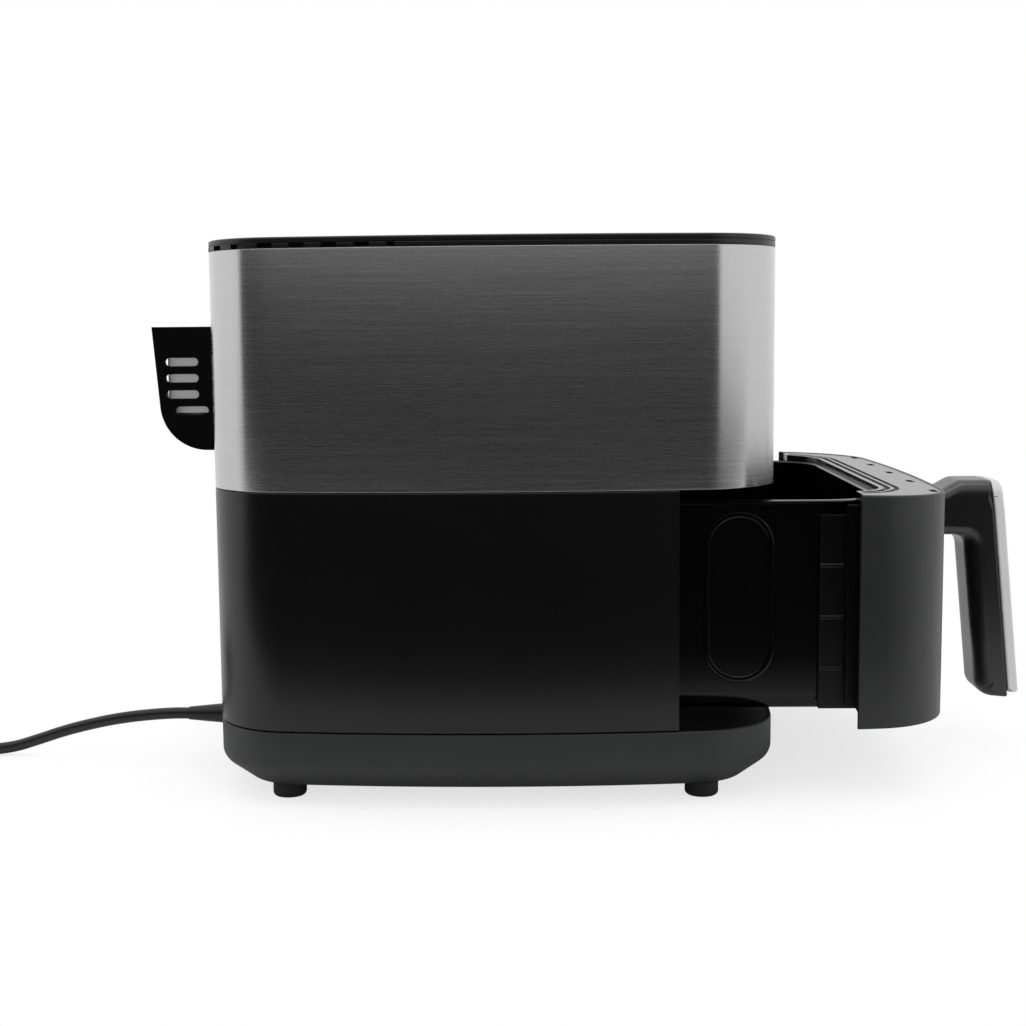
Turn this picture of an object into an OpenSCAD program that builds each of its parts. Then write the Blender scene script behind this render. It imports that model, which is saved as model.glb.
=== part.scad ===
// Drawer air fryer: a brushed steel upper body over a black lower body, with a
// drawer that slides out at the front (-Y) and a hot-air outlet at the back (+Y).
// Millimetres, +Z up, standing on z = 0.

/* [Body] */
// Width across the bowed sides
body_w = 324; // [290:1:390]
// Back face to the middle of the body
body_back = 163; // [150:1:200]
// Front face to the middle of the body
body_front = 168; // [160:1:205]
// Radius that bows each side
side_bow = 1030; // [900:10:1600]
// Radius that bows the back
back_bow = 570; // [500:10:1200]
// Radius that bows the front
front_bow = 1600; // [1200:10:2400]
// Radius of the four upright corners
corner_r = 48; // [40:1:56]
// Wall of the plastic shells
wall = 2.5; // [2:0.1:3.5]
// Thickness of the steel band
steel_t = 0.9; // [0.6:0.1:1.2]

/* [Heights] */
// Height of the feet
foot_h = 8.6; // [6:0.1:12]
// Height of the sloped lower edge of the base
chamfer_h = 13; // [10:0.5:16]
// How far that slope runs in
chamfer_in = 17; // [12:0.5:20]
// Height of the base
base_h = 34; // [30:0.5:42]
// Height of the drawer zone above the base
drawer_zone_h = 133; // [112:1:160]
// Height of the steel band
steel_h = 130.5; // [124:0.5:160]
// Height of the top cover
cover_h = 6.3; // [5.5:0.1:9]

/* [Drawer] */
// How far the drawer stands open at rest
drawer_pull = 96; // [0:1:150]
// Gap between the drawer front and the body
drawer_gap = 1.5; // [1:0.1:3]
// Distance from the middle to the front edges of the side panels
side_edge = 108; // [100:1:116]
// Width of the pan
pan_w = 264; // [220:1:270]
// Middle of the body to the front wall of the pan
pan_front = 128; // [110:1:132]
// Middle of the body to the back wall of the pan
pan_back = 123; // [100:1:125]
// Height of the pan
pan_h = 119; // [95:1:125]
// Upright corner radius of the pan
pan_r = 34; // [24:1:40]
// Wall of the pan
pan_wall = 1.6; // [1.2:0.1:2.4]
// Fall of the drawer's top towards the front, in degrees
cap_slope = 1.8; // [0:0.1:2.5]
// Width of the handle
handle_w = 44; // [34:1:60]
// Clear space for the fingers behind the grip
finger_gap = 30; // [26:1:40]

/* [Hot air] */
// Radius of the round heater chamber
chamber_r = 116; // [100:1:118]
// Radius of the circulation fan
fan_r = 78; // [60:1:90]
// Radius of the cooling fan
cooling_fan_r = 52; // [40:1:60]
// Radius of the motor shaft
shaft_r = 4; // [3:0.1:5]
// Radial running clearance of the shaft in its bushes
shaft_clearance = 0.05; // [0.02:0.01:0.1]
// Radius of the heating tube
tube_r = 3.25; // [3:0.05:4]

/* [Outlet] */
// Width of the outlet housing
vent_w = 110; // [90:1:130]
// Depth of the outlet housing behind the body
vent_d = 37; // [30:1:42]
// Height of the outlet housing
vent_h = 74; // [70:1:84]

/* [Cord] */
// Diameter of the mains cord
cord_d = 7; // [6:0.1:8]

/* [Hidden] */

half_w = body_w / 2;
base_top = foot_h + base_h;
lower_top = base_top + drawer_zone_h;
steel_top = lower_top + steel_h;
body_top = steel_top + cover_h;
fit_gap = 0.3;
seam = 0.7;
// overlap of each corner round with the corner that it fills
merge = 1;
fine = 96;
big = 400;

// handle profile, measured out from the drawer's front face
handle_bottom_z = foot_h + 21;
handle_top_z = lower_top - 9;
grip_t = 24.5;
grip_lean = 14;
handle_out = finger_gap + grip_lean + grip_t;

// the origin lies under the middle of the box at rest
y_shift = (body_front + drawer_pull + handle_out - (body_back + vent_d)) / 2;
module fixed() { translate([0, y_shift, 0]) children(); }
module pulled() { translate([0, y_shift - drawer_pull, 0]) children(); }

// colours
black = [0.07, 0.07, 0.075];
charcoal = [0.2, 0.2, 0.21];
steel = [0.62, 0.63, 0.64];
zinc = [0.7, 0.71, 0.72];
silver = [0.8, 0.8, 0.8];
copper = [0.72, 0.45, 0.25];
board_green = [0.08, 0.3, 0.16];
white_plastic = [0.9, 0.9, 0.88];

// ---- plan outline of the body: four bows joined by round corners ----
// centre of the corner round between a side bow and an end bow, for the +X side
function corner_at(end, bow) =
  let (ax = half_w - side_bow, by = end - bow, d = sqrt(ax * ax + by * by))
  let (r1 = side_bow - corner_r, r2 = bow - corner_r)
  let (t = (r1 * r1 - r2 * r2 + d * d) / (2 * d), h = sqrt(r1 * r1 - t * t))
  [ax - t * ax / d - h * by / d, t * by / d - h * ax / d];
// half width of the outline, inset by d, at the distance y from the middle
function half_at(y, d) = half_w - side_bow + sqrt(pow(side_bow - d, 2) - y * y);
// distance of the front or back face, inset by d, at the distance x from the middle
function face_at(x, end, bow, d) = end - bow + sqrt(pow(bow - d, 2) - x * x);

module at_corner(side, end_side, end, bow) {
  c = corner_at(end, bow);
  translate([side * c[0], end_side * c[1]]) children();
}
module corner_trim(side, end_side, end, bow, d) {
  c = corner_at(end, bow);
  a1 = atan2(c[1], c[0] - half_w + side_bow);
  a2 = atan2(c[1] - end + bow, c[0]);
  a = (a1 + a2) / 2;
  rotate(atan2(end_side * sin(a), side * cos(a)))
    translate([(corner_r - d) * cos((a2 - a1) / 2) - merge, -big / 2]) square([big, big]);
}
module outline(d) {
  difference() {
    intersection() {
      translate([half_w - side_bow, 0]) circle(r = side_bow - d, $fn = 360);
      translate([side_bow - half_w, 0]) circle(r = side_bow - d, $fn = 360);
      translate([0, body_back - back_bow]) circle(r = back_bow - d, $fn = 360);
      translate([0, front_bow - body_front]) circle(r = front_bow - d, $fn = 360);
    }
    for (side = [-1, 1]) {
      at_corner(side, 1, body_back, back_bow) corner_trim(side, 1, body_back, back_bow, d);
      at_corner(side, -1, body_front, front_bow) corner_trim(side, -1, body_front, front_bow, d);
    }
  }
  for (side = [-1, 1]) {
    at_corner(side, 1, body_back, back_bow) circle(r = corner_r - d, $fn = fine);
    at_corner(side, -1, body_front, front_bow) circle(r = corner_r - d, $fn = fine);
  }
}
module slab(d, z0, z1) { translate([0, 0, z0]) linear_extrude(height = z1 - z0) outline(d); }
module shell_ring(d0, d1, z0, z1) {
  difference() {
    slab(d0, z0, z1);
    slab(d1, z0 - 1, z1 + 1);
  }
}
// box from one corner to the other
module span(low, high) { translate(low) cube(high - low); }
// everything in front of the plane y = -at
module in_front(at) { span([-big, -big, -1], [big, -at, big]); }
// rectangle with round corners
module round_rect(x0, x1, y0, y1, r) {
  translate([x0 + r, y0]) square([x1 - x0 - 2 * r, y1 - y0]);
  translate([x0, y0 + r]) square([x1 - x0, y1 - y0 - 2 * r]);
  for (x = [x0 + r, x1 - r], y = [y0 + r, y1 - r]) translate([x, y]) circle(r = r, $fn = 64);
}
// slot with round ends: its length runs along Y and its width along Z, cut through along X
module side_slot(x0, x1, y, z, length, width) {
  translate([x0, y, z]) rotate([90, 0, 90]) linear_extrude(height = x1 - x0)
    round_rect(-length / 2, length / 2, -width / 2, width / 2, width / 2 - 0.01);
}
module tube_ring(r0, r1, z0, z1) {
  difference() {
    translate([0, 0, z0]) cylinder(r = r1, h = z1 - z0, $fn = fine);
    translate([0, 0, z0 - 1]) cylinder(r = r0, h = z1 - z0 + 2, $fn = fine);
  }
}
module rod(r, z0, z1) { translate([0, 0, z0]) cylinder(r = r, h = z1 - z0, $fn = 48); }

// ---- base ----
base_in = chamfer_in + wall + 0.5;
plate_t = 2.2;
plate_in = base_in + fit_gap;
deck_t = 2.5;
slope_top = foot_h + chamfer_h;
cord_exit = [-57, 30];
gland_r = 5.5;
loom_at = [-75, 145];
loom_hole_r = 6;

// the cord's way out through the back, with +Z of the child along +Y
module at_exit() { translate([cord_exit[0], 0, cord_exit[1]]) rotate([-90, 0, 0]) children(); }
module base() {
  color(charcoal) fixed() difference() {
    slab(0, slope_top, base_top);
    slab(wall, slope_top - 1, base_top - deck_t);
    at_exit() rod(gland_r, body_back - 30, body_back + 30);
    translate(loom_at) rod(loom_hole_r, base_top - 5, base_top + 5);
  }
}
// the sloped lower edge, a frame under the base
module base_skirt() {
  color(charcoal) fixed() difference() {
    hull() {
      slab(0, slope_top - 0.1, slope_top);
      slab(chamfer_in, foot_h, foot_h + 0.1);
    }
    hull() {
      slab(wall, slope_top, slope_top + 0.1);
      slab(base_in, foot_h - 0.2, foot_h);
    }
  }
}

foot_r = 9.5;
foot_x = half_w - 34;
foot_y = [body_back - 52, 45 - body_front];
module at_feet() {
  for (x = [-foot_x, foot_x], y = foot_y) translate([x, y, 0]) children();
}
screw_step = 24;
module at_base_screws() {
  for (x = [-1, 1], y = foot_y) translate([x * (foot_x - screw_step), y, 0]) children();
}
module bottom_plate() {
  color(black) fixed() difference() {
    slab(plate_in, foot_h, foot_h + plate_t);
    for (x = [-60 : 12 : 60]) span([x - 2, -30, foot_h - 1], [x + 2, 30, foot_h + plate_t + 1]);
    at_base_screws() rod(1.8, foot_h - 1, foot_h + plate_t + 1);
  }
}
module rubber_feet() {
  color(black) fixed() at_feet() {
    rod(foot_r, 1.2, foot_h);
    cylinder(r1 = foot_r - 1.2, r2 = foot_r, h = 1.2, $fn = 48);
  }
}
module base_screws() {
  color(zinc) fixed() at_base_screws() {
    rod(1.7, foot_h, base_top - deck_t);
    difference() {
      rod(3.4, foot_h - 2.2, foot_h);
      span([-0.4, -2.2, foot_h - 3], [0.4, 2.2, foot_h - 1.2]);
      span([-2.2, -0.4, foot_h - 3], [2.2, 0.4, foot_h - 1.2]);
    }
  }
}

// ---- lower body ----
module lower_shell() {
  color(black) fixed() difference() {
    union() {
      shell_ring(0, wall, base_top + seam, lower_top - seam / 2);
      shell_ring(wall - 0.5, wall + 1.5, base_top, base_top + 6);
    }
    in_front(side_edge);
  }
}

// opening that the pan passes through
pan_floor_z = base_top + 5.8;
pan_top = pan_floor_z + pan_h;
flange_w = 5.5;
flange_t = 2;
liner_t = 1;
liner_x = pan_w / 2 + flange_w + 5.5;
liner_back = pan_back + flange_w + 2.5;
liner_z0 = base_top + 2.4;
liner_z1 = lower_top - 1.6;
frame_y = side_edge - 3.5;
frame_t = 3;
opening_x = liner_x - 2.5;
module cavity_frame() {
  color(black) fixed() difference() {
    intersection() {
      slab(wall + 0.1, base_top, lower_top - 0.4);
      span([-big, -frame_y - frame_t, 0], [big, -frame_y, big]);
    }
    span([-opening_x, -big, liner_z0 + 1.4], [opening_x, 0, liner_z1 - 1.5]);
    shell_ring(wall - 1, wall + 1.6, base_top - 1, base_top + 6.1);
  }
}

outlet_x = 45;
outlet_z = [liner_z1 - 32, liner_z1 - 10];
plunger_at = [118, pan_top - 1];
plunger_r = 2;
module cavity_liner() {
  color(zinc) fixed() difference() {
    span([-liner_x, -frame_y, liner_z0], [liner_x, liner_back, liner_z1]);
    span([-liner_x + liner_t, -frame_y - 1, liner_z0 + liner_t],
      [liner_x - liner_t, liner_back - liner_t, liner_z1 - liner_t]);
    rod(chamber_r - 4, liner_z1 - 5, liner_z1 + 5);
    span([-outlet_x, liner_back - 5, outlet_z[0]], [outlet_x, liner_back + 5, outlet_z[1]]);
    translate([plunger_at[0], liner_back - 5, plunger_at[1]])
      rotate([-90, 0, 0]) cylinder(r = plunger_r + 0.6, h = 10, $fn = 32);
  }
}

rail_gap = 0.5;
flange_z = pan_top - flange_t;
rail_top = flange_z - rail_gap;
rail_h = 4;
module slide_rails() {
  color(steel) fixed() for (side = [-1, 1]) {
    x0 = pan_w / 2 + 2.2;
    x1 = liner_x - liner_t;
    mirror([side < 0 ? 1 : 0, 0, 0])
      span([x0, -frame_y, rail_top - rail_h], [x1, liner_back - liner_t, rail_top]);
  }
}

// ---- upper body ----
chassis_t = 2.4;
chassis_floor = lower_top + 2.6;
window_x = 94;
window_z = [lower_top + 22, steel_top - 20];
window_r = 10;
module window(d) {
  rotate([90, 0, 0]) linear_extrude(height = big)
    round_rect(-window_x - d, window_x + d, window_z[0] - d, window_z[1] + d, window_r + d);
}
vent_top = lower_top + 90;
vent_z = [vent_top - vent_h, vent_top];
duct_x = vent_w / 2 - 12;
duct_z = [vent_z[0] + 14, vent_z[0] + 36];
module duct_cut(d) {
  span([-duct_x - d, 0, duct_z[0] - d], [duct_x + d, big, duct_z[1] + d]);
}

module upper_chassis() {
  color(black) fixed() difference() {
    union() {
      shell_ring(steel_t + 0.1, steel_t + 0.1 + chassis_t, lower_top + 0.2, steel_top - 1);
      slab(steel_t + 1, lower_top + 0.2, chassis_floor);
      difference() {
        shell_ring(wall + 0.2, wall + 2.2, lower_top - 6, lower_top + 1);
        in_front(frame_y - 0.2);
      }
    }
    window(0.4);
    rod(chamber_r - 4, lower_top - 10, chassis_floor + 5);
    duct_cut(0.4);
    translate(loom_at) rod(loom_hole_r, lower_top - 10, chassis_floor + 5);
  }
}
module steel_wrap() {
  color(steel) fixed() difference() {
    shell_ring(0, steel_t, lower_top, steel_top);
    window(0.4);
    duct_cut(0.4);
  }
}

tooth_pitch = 17.2;
tooth_gap = 8.4;
groove_h = 0.6;
band_h = 2.7;
module intake_gaps() {
  for (k = [0 : 2]) {
    y = 65 + k * tooth_pitch;
    for (side = [-1, 1]) translate([side * half_w, y, steel_top + band_h / 2 - 0.1])
      cube([30, tooth_gap, band_h], center = true);
  }
  for (k = [-5 : 5]) translate([k * tooth_pitch, body_back, steel_top + band_h / 2 - 0.1])
    cube([tooth_gap, 40, band_h], center = true);
  for (side = [-1, 1], a = [22, 45, 68]) mirror([side < 0 ? 1 : 0, 0, 0])
    translate(corner_at(body_back, back_bow)) rotate(a)
      translate([corner_r, 0, steel_top + band_h / 2 - 0.1])
        cube([20, tooth_gap, band_h], center = true);
}
module top_cover() {
  color(black) fixed() difference() {
    slab(0, steel_top, body_top);
    shell_ring(-5, 0.7, steel_top + band_h, steel_top + band_h + groove_h);
    slab(wall + 1.5, steel_top - 1, body_top - 2.5);
    intake_gaps();
  }
}

// ---- hot air outlet at the back ----
vent_foot_r = 28;
// the outer face leans in towards its foot
vent_lean = 4.5;
slot_pitch = 9.7;
slot_h = 5;
module vent_profile(d) {
  y0 = body_back - 12;
  z0 = vent_z[0] + d;
  z1 = vent_z[1] - d;
  r = vent_foot_r - d;
  y1 = body_back + vent_d - d / cos(vent_lean) - d * tan(vent_lean);
  foot_y = y1 - (z1 - z0 - r + r * sin(vent_lean)) * tan(vent_lean) - r * cos(vent_lean);
  polygon([[y0, z0], [foot_y, z0], [foot_y, z0 + r],
    [foot_y + r * cos(vent_lean), z0 + r - r * sin(vent_lean)], [y1, z1], [y0, z1]]);
  translate([foot_y, z0 + r]) circle(r = r, $fn = fine);
}
module vent_body(d) {
  translate([-vent_w / 2 + d, 0, 0]) rotate([90, 0, 90])
    linear_extrude(height = vent_w - 2 * d) vent_profile(d);
}
module exhaust_vent() {
  color(black) fixed() difference() {
    vent_body(0);
    difference() {
      vent_body(wall);
      span([-big, 0, 0], [big, body_back + 0.8, vent_z[0] + 6]);
    }
    slab(0, 0, big);
    for (k = [0 : 3]) {
      z = vent_z[1] - 21 - k * slot_pitch;
      y = body_back + (k == 3 ? 14 : 19.5);
      side_slot(-vent_w, vent_w, y, z, 20, slot_h);
      for (x = [-1, 0, 1]) span([x * 30 - 11, body_back + vent_d - 11, z - slot_h / 2],
        [x * 30 + 11, body_back + vent_d + 5, z + slot_h / 2]);
    }
  }
}
module exhaust_duct() {
  color(zinc) fixed() difference() {
    span([-duct_x, chamber_r - 6, duct_z[0]], [duct_x, body_back + 1.5, duct_z[1]]);
    span([-duct_x + 1, 0, duct_z[0] + 1], [duct_x - 1, big, duct_z[1] - 1]);
    rod(chamber_r + 0.1, 0, big);
  }
}

// ---- control panel ----
glass_t = 3;
module control_panel() {
  color([0.03, 0.03, 0.035]) fixed() intersection() {
    shell_ring(0, glass_t, window_z[0], window_z[1]);
    window(0);
  }
}
module panel_frame() {
  inner = steel_t + 0.1 + chassis_t;
  color(charcoal) fixed() difference() {
    intersection() {
      shell_ring(inner, inner + 2, window_z[0] - 6, window_z[1] + 6);
      window(5);
    }
    window(-6);
  }
}
board_y = body_front - 12.5;
module display_board() {
  color(board_green) fixed() difference() {
    span([-78, -board_y, window_z[0] + 8], [78, -board_y + 1.6, window_z[1] - 8]);
    for (x = [-72, 72], z = [window_z[0] + 14, window_z[1] - 14])
      translate([x, 0, z]) rotate([90, 0, 0]) cylinder(r = 1.6, h = big, $fn = 24);
  }
}

// ---- heater chamber, element and guard ----
chamber_z0 = chassis_floor;
chamber_z1 = chamber_z0 + 46;
module heater_housing() {
  color(zinc) fixed() difference() {
    rod(chamber_r, chamber_z0, chamber_z1);
    rod(chamber_r - 1, chamber_z0 - 1, chamber_z1 - 1);
    rod(shaft_r + 2, chamber_z0, chamber_z1 + 1);
    duct_cut(-1);
    translate([probe_x, 0, 0]) rod(3.2, chamber_z1 - 5, chamber_z1 + 5);
    for (side = [-1, 1]) translate([side * terminal_x, -element_r, 0])
      rod(tube_r + 0.1, chamber_z1 - 5, chamber_z1 + 5);
  }
}
module insulation_ring() {
  color([0.85, 0.83, 0.76]) fixed() difference() {
    tube_ring(chamber_r + 0.2, chamber_r + 14, chamber_z0, chamber_z1 - 3);
    duct_cut(1);
  }
}
element_r = 90;
element_z = chamber_z0 + 12;
terminal_x = 14;
// the probe hangs just outside the fan
probe_x = fan_r + 6;
module torus(r, z) {
  translate([0, 0, z]) rotate_extrude($fn = fine) translate([r, 0]) circle(r = tube_r, $fn = 32);
}
module heating_element() {
  color(charcoal) fixed() difference() {
    union() {
      torus(element_r, element_z);
      torus(element_r - 22, element_z);
      for (side = [-1, 1]) translate([side * terminal_x, -element_r, 0])
        rod(tube_r, element_z, chamber_z1 + 8);
      translate([0, element_r - 22, element_z])
        rotate([-90, 0, 0]) cylinder(r = tube_r, h = 22, $fn = 32);
    }
    span([-7, -element_r - 6, element_z - 5], [7, -element_r + 30, element_z + 5]);
  }
}
module element_clips() {
  color(zinc) fixed() for (a = [20, 140, 220]) rotate(a) {
    span([element_r - 3, -5, element_z + tube_r], [element_r + 3, 5, chamber_z1 - 1]);
    span([element_r - 25, -5, element_z + tube_r], [element_r - 3, 5, element_z + tube_r + 1.2]);
  }
}
guard_wire = 1.3;
guard_bar = 1.6;
module heater_guard() {
  color(steel) fixed() {
    for (r = [30 : 20 : chamber_r - 16]) translate([0, 0, chamber_z0 + guard_bar + 1]) rotate_extrude($fn = fine)
      translate([r, 0]) circle(r = guard_wire, $fn = 24);
    for (a = [0, 90]) rotate(a)
      span([2 - chamber_r, -guard_bar, chamber_z0], [chamber_r - 2, guard_bar, chamber_z0 + guard_bar]);
  }
}
module ntc_sensor() {
  color(steel) fixed() translate([probe_x, 0, 0]) {
    rod(3, chamber_z1 - 14, chamber_z1);
    rod(6, chamber_z1, chamber_z1 + 5);
  }
}
module thermal_fuse() {
  color(zinc) fixed() translate([-70, -60, 0]) {
    span([-9, -5, chamber_z1], [9, 5, chamber_z1 + 1.5]);
    rod(5, chamber_z1 + 1.5, chamber_z1 + 9);
  }
}

// ---- motor and fans ----
bracket_z = chamber_z1 + 8;
motor_r = 34;
motor_z = [bracket_z + 2, bracket_z + 32];
bracket_arm = 44;
bush_h = 6;
module at_arms() {
  for (a = [45 : 90 : 315]) rotate(a) translate([bracket_arm, 0, 0]) children();
}
module motor_bracket() {
  color(zinc) fixed() {
    difference() {
      union() {
        rod(motor_r, bracket_z, bracket_z + 2);
        for (a = [45, 135]) rotate(a)
          span([-bracket_arm - 7, -7, bracket_z], [bracket_arm + 7, 7, bracket_z + 2]);
      }
      rod(12, bracket_z - 1, bracket_z + 3);
      at_arms() rod(2.2, bracket_z - 1, bracket_z + 3);
    }
    at_arms() tube_ring(2.2, 5, chamber_z1, bracket_z);
  }
}
module motor_screws() {
  color(steel) fixed() at_arms() {
    rod(2, chamber_z1, bracket_z + 2);
    rod(4, bracket_z + 2, bracket_z + 4.5);
  }
}
module fan_motor() {
  color(steel) fixed() difference() {
    union() {
      rod(motor_r, motor_z[0], motor_z[1]);
      rod(13, motor_z[1], motor_z[1] + 5);
    }
    for (z = [motor_z[0] - 1, motor_z[1] + 5 - bush_h]) rod(9, z, z + bush_h + 1);
    rod(shaft_r + 1.5, motor_z[0] - 1, motor_z[1] + 9);
    for (a = [0 : 45 : 315]) rotate(a) span([24, -4, motor_z[0] + 8], [motor_r + 2, 4, motor_z[1] - 8]);
  }
}
module shaft_bushes() {
  bore = shaft_r + shaft_clearance;
  color(copper) fixed() {
    tube_ring(bore, 9, motor_z[0], motor_z[0] + bush_h);
    tube_ring(bore, 9, motor_z[1] + 5 - bush_h, motor_z[1] + 5);
  }
}
fan_z = [chamber_z0 + 19, chamber_z0 + 37];
cooling_z = [motor_z[1] + 8, motor_z[1] + 22];
module fan_shaft() {
  color(steel) fixed() rod(shaft_r, fan_z[0] - 6, cooling_z[1] + 1);
}
module fan_wheel(r, z, blades, hub_r, blade_t) {
  difference() {
    union() {
      rod(hub_r, z[0], z[1]);
      rod(r, z[1] - 1.2, z[1]);
      for (k = [0 : blades - 1]) rotate(k * 360 / blades)
        span([hub_r - 2, -blade_t / 2, z[0]], [r, blade_t / 2, z[1]]);
    }
    rod(shaft_r, z[0] - 1, z[1] + 1);
  }
}
module circulation_fan() {
  color(steel) fixed() fan_wheel(fan_r, fan_z, 12, 12, 1.2);
}
module fan_nut() {
  color(steel) fixed() difference() {
    translate([0, 0, fan_z[0] - 5]) cylinder(r = 8, h = 5, $fn = 6);
    rod(shaft_r, fan_z[0] - 6, fan_z[0] + 1);
  }
}
module cooling_fan() {
  color(white_plastic) fixed() fan_wheel(cooling_fan_r, cooling_z, 16, 11, 1.6);
}

// ---- electronics ----
power_z = chamber_z1 + 14;
power_x = [10 - chamber_r, 72 - chamber_r];
power_y = [-44, 50];
post_r = 3;
module at_posts() {
  for (x = [power_x[0] + 6, power_x[1] - 6], y = [power_y[0] + 6, power_y[1] - 6])
    translate([x, y, 0]) children();
}
module power_board() {
  color(board_green) fixed() {
    difference() {
      span([power_x[0], power_y[0], power_z], [power_x[1], power_y[1], power_z + 1.6]);
      at_posts() rod(1.6, power_z - 1, power_z + 3);
    }
    translate([power_x[0] + 24, 0, power_z + 1.6]) {
      span([-8, -28, 0], [8, 2, 18]);
      translate([0, 16, 0]) cylinder(r = 8, h = 22, $fn = 32);
      span([16, -28, 0], [26, 20, 14]);
      translate([0, 34, 0]) cylinder(r = 5, h = 14, $fn = 32);
    }
  }
}
module board_posts() {
  color(white_plastic) fixed() at_posts() {
    rod(post_r, chamber_z1, power_z);
    rod(1.5, power_z, power_z + 3);
  }
}
block_at = [loom_at[0] + 24, loom_at[1] - 30];
block_z = foot_h + plate_t;
module terminal_block() {
  color(white_plastic) fixed() translate([block_at[0], block_at[1], block_z]) difference() {
    span([-16, -9, 0], [16, 9, 14]);
    for (x = [-10, 0, 10]) translate([x, 0, 6]) cylinder(r = 2.6, h = 10, $fn = 32);
  }
}
loom_r = 3;
module wiring_loom() {
  z1 = power_z - 6;
  color([0.8, 0.75, 0.6]) fixed() {
    translate(loom_at) {
      rod(loom_r, block_z + 8, z1);
      for (z = [block_z + 8, z1]) translate([0, 0, z]) sphere(r = loom_r, $fn = 32);
      translate([0, 0, z1]) rotate([90, 0, 0])
        cylinder(r = loom_r, h = loom_at[1] - power_y[1] + 20, $fn = 32);
      translate([0, 0, block_z + 8]) rotate([90, 0, 0]) cylinder(r = loom_r, h = 30, $fn = 32);
    }
  }
}

// drawer switch: a sprung plunger that the closed drawer comes up to
plunger_travel = 2;
plunger_tip = pan_back + flange_w + 0.8;
switch_y = liner_back + 1;
module micro_switch() {
  color(charcoal) fixed() translate([plunger_at[0], switch_y, plunger_at[1]]) difference() {
    span([-10, -1, -6], [10, 9, 6]);
    rotate([-90, 0, 0]) translate([0, 0, -2]) cylinder(r = plunger_r + 0.05, h = 9, $fn = 32);
  }
}
module switch_plunger() {
  color(white_plastic) fixed() translate([plunger_at[0], 0, plunger_at[1]]) rotate([-90, 0, 0])
    translate([0, 0, plunger_tip]) cylinder(r = plunger_r, h = switch_y + 4 - plunger_tip, $fn = 32);
}

// ---- drawer ----
drawer_edge = side_edge + drawer_gap;
drawer_z0 = base_top + 1;
drawer_top = lower_top - 3.4;
cap_t = 4.5;
// space above the sloping top, which falls from the back edge to the front
module above_top(drop) {
  translate([0, -drawer_edge, drawer_top - drop]) rotate([cap_slope, 0, 0])
    span([-big, -big, 0], [big, big, big]);
}
module drawer_front() {
  color(charcoal) pulled() difference() {
    union() {
      intersection() {
        shell_ring(0, wall, drawer_z0, drawer_top + 1);
        in_front(drawer_edge);
      }
      intersection() {
        slab(1, drawer_z0, drawer_z0 + wall);
        in_front(inner_y + 2.6);
      }
    }
    above_top(0);
    at_handle_screws() rod(2.1, -20, 20);
  }
}
inner_y = pan_front + 3;
inner_t = 2.5;
cap_hole = 58;
// the round-cornered path of the pan, grown by d
module pan_rect(d) {
  round_rect(-pan_w / 2 - d, pan_w / 2 + d, -pan_front - d, pan_back + d, pan_r + d);
}
module cap_groove(d0, d1) {
  translate([0, 0, drawer_top - cap_t + 1.4]) linear_extrude(height = 20) difference() {
    pan_rect(d1);
    pan_rect(d0);
  }
}
module drawer_cap() {
  color(black) pulled() difference() {
    intersection() {
      slab(wall + 0.1, pan_top + 0.1, drawer_top + 1);
      in_front(drawer_edge + 2);
    }
    translate([0, 0, drawer_top - 20]) linear_extrude(height = 40) pan_rect(1.5);
    above_top(0.4);
    intersection() {
      union() {
        cap_groove(4.5, 8);
        cap_groove(10, 13);
      }
      in_front(drawer_edge + 4);
    }
    for (k = [-2 : 2]) span([k * cap_hole - 6, -body_front + 9, 0],
      [k * cap_hole + 6, -body_front + 13, big]);
    at_handle_screws() rod(4 + fit_gap, -20, 20);
  }
}
bracket_x = pan_w / 2 + pan_wall / 2;
return_x = [pan_w / 2 + flange_w - 0.4, opening_x - 0.8];
inner_top = flange_z - 0.3;
module drawer_inner_panel() {
  color(black) pulled() {
    difference() {
      intersection() {
        slab(wall + 0.1, drawer_z0 + wall, inner_top);
        span([-big, -inner_y - inner_t, 0], [big, -inner_y, big]);
      }
      at_handle_screws() rod(5, -20, 20);
      at_bracket_screws() rod(1.6, -1, inner_t + 1);
    }
    for (side = [-1, 1]) mirror([side < 0 ? 1 : 0, 0, 0]) difference() {
      span([return_x[0], -inner_y, drawer_z0 + wall], [return_x[1], 3 - side_edge, inner_top]);
      translate([0, 3 - side_edge, drawer_z0 + wall]) rotate([0, 90, 0])
        cylinder(r = 8, h = big, $fn = 48);
    }
  }
}
rib_pitch = 29;
bracket_z0 = pan_floor_z + 2;
bracket_top = rail_top - rail_h - 1.5;
module side_brackets() {
  color(black) pulled() for (side = [-1, 1]) mirror([side < 0 ? 1 : 0, 0, 0]) {
    span([pan_w / 2, -inner_y, bracket_z0], [pan_w / 2 + 3, 17 - side_edge, bracket_top]);
    for (z = [bracket_z0 + 22 : rib_pitch : bracket_top - 5])
      span([pan_w / 2 + 3, 3.6 - side_edge, z], [pan_w / 2 + 4.2, 17 - side_edge, z + 1.6]);
  }
}
module at_bracket_screws() {
  for (side = [-1, 1], z = [drawer_z0 + 22, drawer_z0 + 98])
    translate([side * (half_w - 16.5), -inner_y, z]) rotate([90, 0, 0]) children();
}
module bracket_screws() {
  color(zinc) pulled() at_bracket_screws() {
    rod(3, -2, 0);
    rod(1.5, 0, inner_t);
  }
}

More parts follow.
